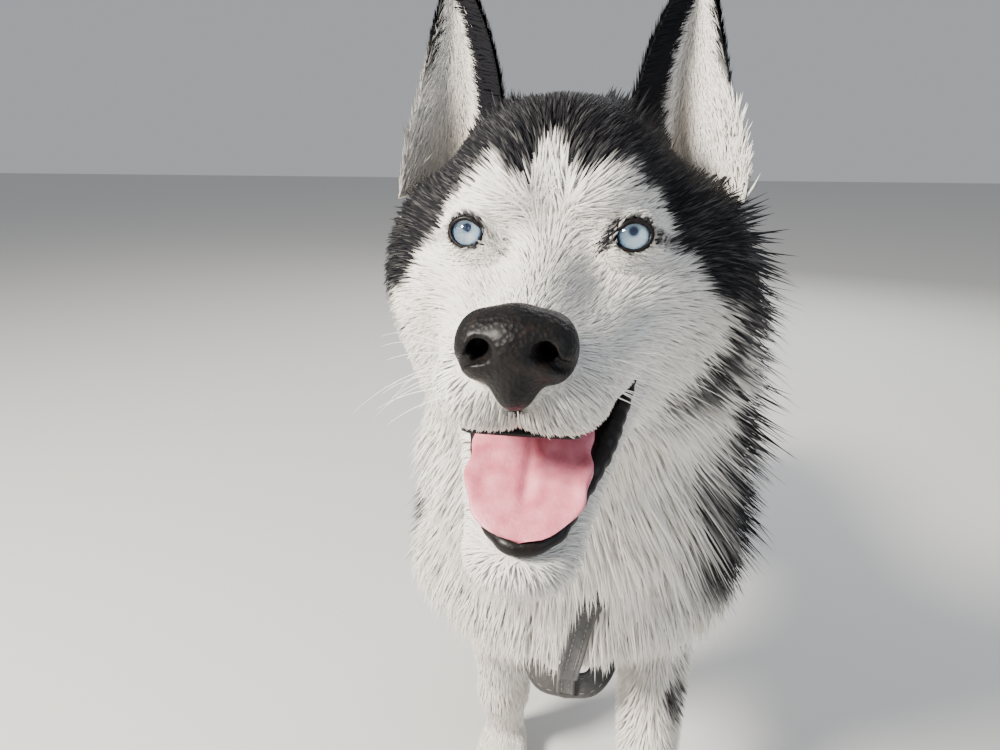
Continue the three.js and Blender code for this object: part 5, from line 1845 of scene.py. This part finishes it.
STRAP_AXES = {name: strap_axes(name) for name in ROUTES}
WEAVE = 1.3  # across one turn of the weave
WEBBING = material("webbing", 0.85, Sheen_Weight=0.3)
weave_at = add(WEBBING, "ShaderNodeSeparateXYZ")
link(WEBBING, attribute(WEBBING, "Weave").outputs["Vector"], weave_at.inputs[0])
waves = []
for axis in (0, 1):
    wave = add(WEBBING, "ShaderNodeMath", operation="SINE")
    link(WEBBING, scaled(WEBBING, weave_at.outputs[axis], 2 * np.pi / WEAVE), wave.inputs[0])
    waves.append(wave.outputs[0])
cross = add(WEBBING, "ShaderNodeMath", operation="MULTIPLY")
for socket, wave in zip(cross.inputs, waves):
    link(WEBBING, wave, socket)
grey = ramp(WEBBING, noise(WEBBING, 260, 4), [(0.3, (0.030, 0.028, 0.027)), (0.7, (0.062, 0.058, 0.055))])
cloth = ramp(WEBBING, cross.outputs[0], [(0.0, (0.75, 0.75, 0.75)), (0.6, (1.1, 1.1, 1.1))])
paint(WEBBING, times(WEBBING, grey, cloth))
bump(WEBBING, cross.outputs[0], 0.5, 0.0005)
THREAD = material("thread", 0.7)
mottle(THREAD, 1500, 2, [(0.3, (0.13, 0.125, 0.12)), (0.7, (0.26, 0.25, 0.24))])


def strap(name):
    """A band of webbing with a rolled binding along each edge and a row of stitches inside each binding."""
    path = STRAP_PATHS[name]
    width = ROUTES[name][1]
    across, out = STRAP_AXES[name]
    closed = name == "harness_girth"
    if closed:
        path, across, out = path[:-1], across[:-1], out[:-1]
    half = width / 2
    # half of the section's upper side, as (across, height), from the edge
    top = [(-half, 0.4), (-half + 0.2, 1.7), (-half + 1.2, 2.5), (-half + 2.6, 2.3), (-half + 3.6, 1.7)]
    under = [(half - 1, -0.9), (0, -0.9), (-half + 1, -0.9)]
    section = np.array(top + [(0, 1.8)] + [(-a, b) for a, b in top[::-1]] + under)
    sideways, outward = section[None, :, 0, None], section[None, :, 1, None]
    points = path[:, None] + across[:, None] * sideways + out[:, None] * outward
    n, k = len(path), len(section)
    rows = np.arange(n if closed else n - 1)
    faces = []
    for j in range(k):
        a = rows * k + j
        b = rows * k + (j + 1) % k
        up_a = ((rows + 1) % n) * k + j
        up_b = ((rows + 1) % n) * k + (j + 1) % k
        faces.append(np.stack([a, up_a, up_b, b], 1))
    faces = np.vstack(faces)
    band = new_mesh(name.replace("harness_", "strap_"), points.reshape(-1, 3), faces, WEBBING)
    weave = np.zeros((n, k, 3))
    weave[:, :, 0] = section[None, :, 0]
    weave[:, :, 1] = distance_along(path)[:, None]
    set_values(band, weave.reshape(-1, 3), "Weave")
    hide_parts(name)
    stitches = []
    for row in (-half + 5, half - 5):
        for i in range(1, n - 2, 2):
            a = path[i] + across[i] * row + out[i] * 2.0
            b = path[i + 1] + across[i + 1] * row + out[i + 1] * 2.0
            stitches.append(tube(np.linspace(a, b, 4), [0.25, 0.4, 0.4, 0.25], 5))
    thread = new_mesh(name.replace("harness_", "stitches_"), *together(stitches), THREAD)


for name in ROUTES:
    strap(name)

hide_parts("head", "jaw", "neck", "torso", "tail", *LEGS)
coat()

# Floor, light and camera
FLOOR_HALF = 12
floor = bpy.data.objects.new("floor", bpy.data.meshes.new("floor"))
corners = [(x * FLOOR_HALF, y * FLOOR_HALF, 0) for x, y in ((-1, -1), (1, -1), (1, 1), (-1, 1))]
floor.data.from_pydata(corners, [], [(0, 1, 2, 3)])
bpy.context.scene.collection.objects.link(floor)
pale = material("floor", 0.9)
shader_of(pale).inputs["Base Color"].default_value = (0.62, 0.61, 0.59, 1)
floor.data.materials.append(pale)


def area_light(name, at, target, size, power, colour):
    """A round lamp that shines at a target."""
    data = bpy.data.lights.new(name, "AREA")
    data.shape = "DISK"
    data.size = size
    data.energy = power
    data.color = colour
    lamp = bpy.data.objects.new(name, data)
    lamp.location = at
    lamp.rotation_euler = (Vector(target) - Vector(at)).to_track_quat("-Z", "Y").to_euler()
    bpy.context.scene.collection.objects.link(lamp)


# Name, place, target, size, power and colour of each light: a warm key, a cool fill and one from behind
LIGHTS = [
    ("key", (-1.9, -1.9, 2.3), (0, -0.2, 0.55), 0.8, 345, (1.0, 0.94, 0.85)),
    ("fill", (2.4, -1.6, 1.3), (0, -0.1, 0.5), 2.2, 26, (0.74, 0.86, 1.0)),
    ("back", (0.8, 2.6, 2.0), (0, 0.2, 0.5), 1.8, 60, (0.95, 0.97, 1.0)),
]
for light in LIGHTS:
    area_light(*light)
world = bpy.data.worlds.new("studio")
world.use_nodes = True
background = world.node_tree.nodes["Background"]
background.inputs["Color"].default_value = (0.80, 0.83, 0.88, 1)
background.inputs["Strength"].default_value = 0.5
bpy.context.scene.world = world

# Camera, in the place that the photograph was taken from
CAMERA_AT = np.array([30.0, -659.0, 780.0])
CAMERA_YAW = np.radians(9.5)
CAMERA_DOWN = np.radians(18.7)
FOCAL = 25.99
SENSOR_WIDTH = 36
camera = bpy.data.objects.new("camera", bpy.data.cameras.new("camera"))
camera.data.lens = FOCAL
camera.data.sensor_width = SENSOR_WIDTH
camera.data.clip_start = 0.01
camera.location = placed(CAMERA_AT)
level = np.cos(CAMERA_DOWN)
look = Vector((-np.sin(CAMERA_YAW) * level, np.cos(CAMERA_YAW) * level, -np.sin(CAMERA_DOWN)))
camera.rotation_mode = "QUATERNION"
camera.rotation_quaternion = look.to_track_quat("-Z", "Y")
bpy.context.scene.collection.objects.link(camera)
bpy.context.scene.camera = camera
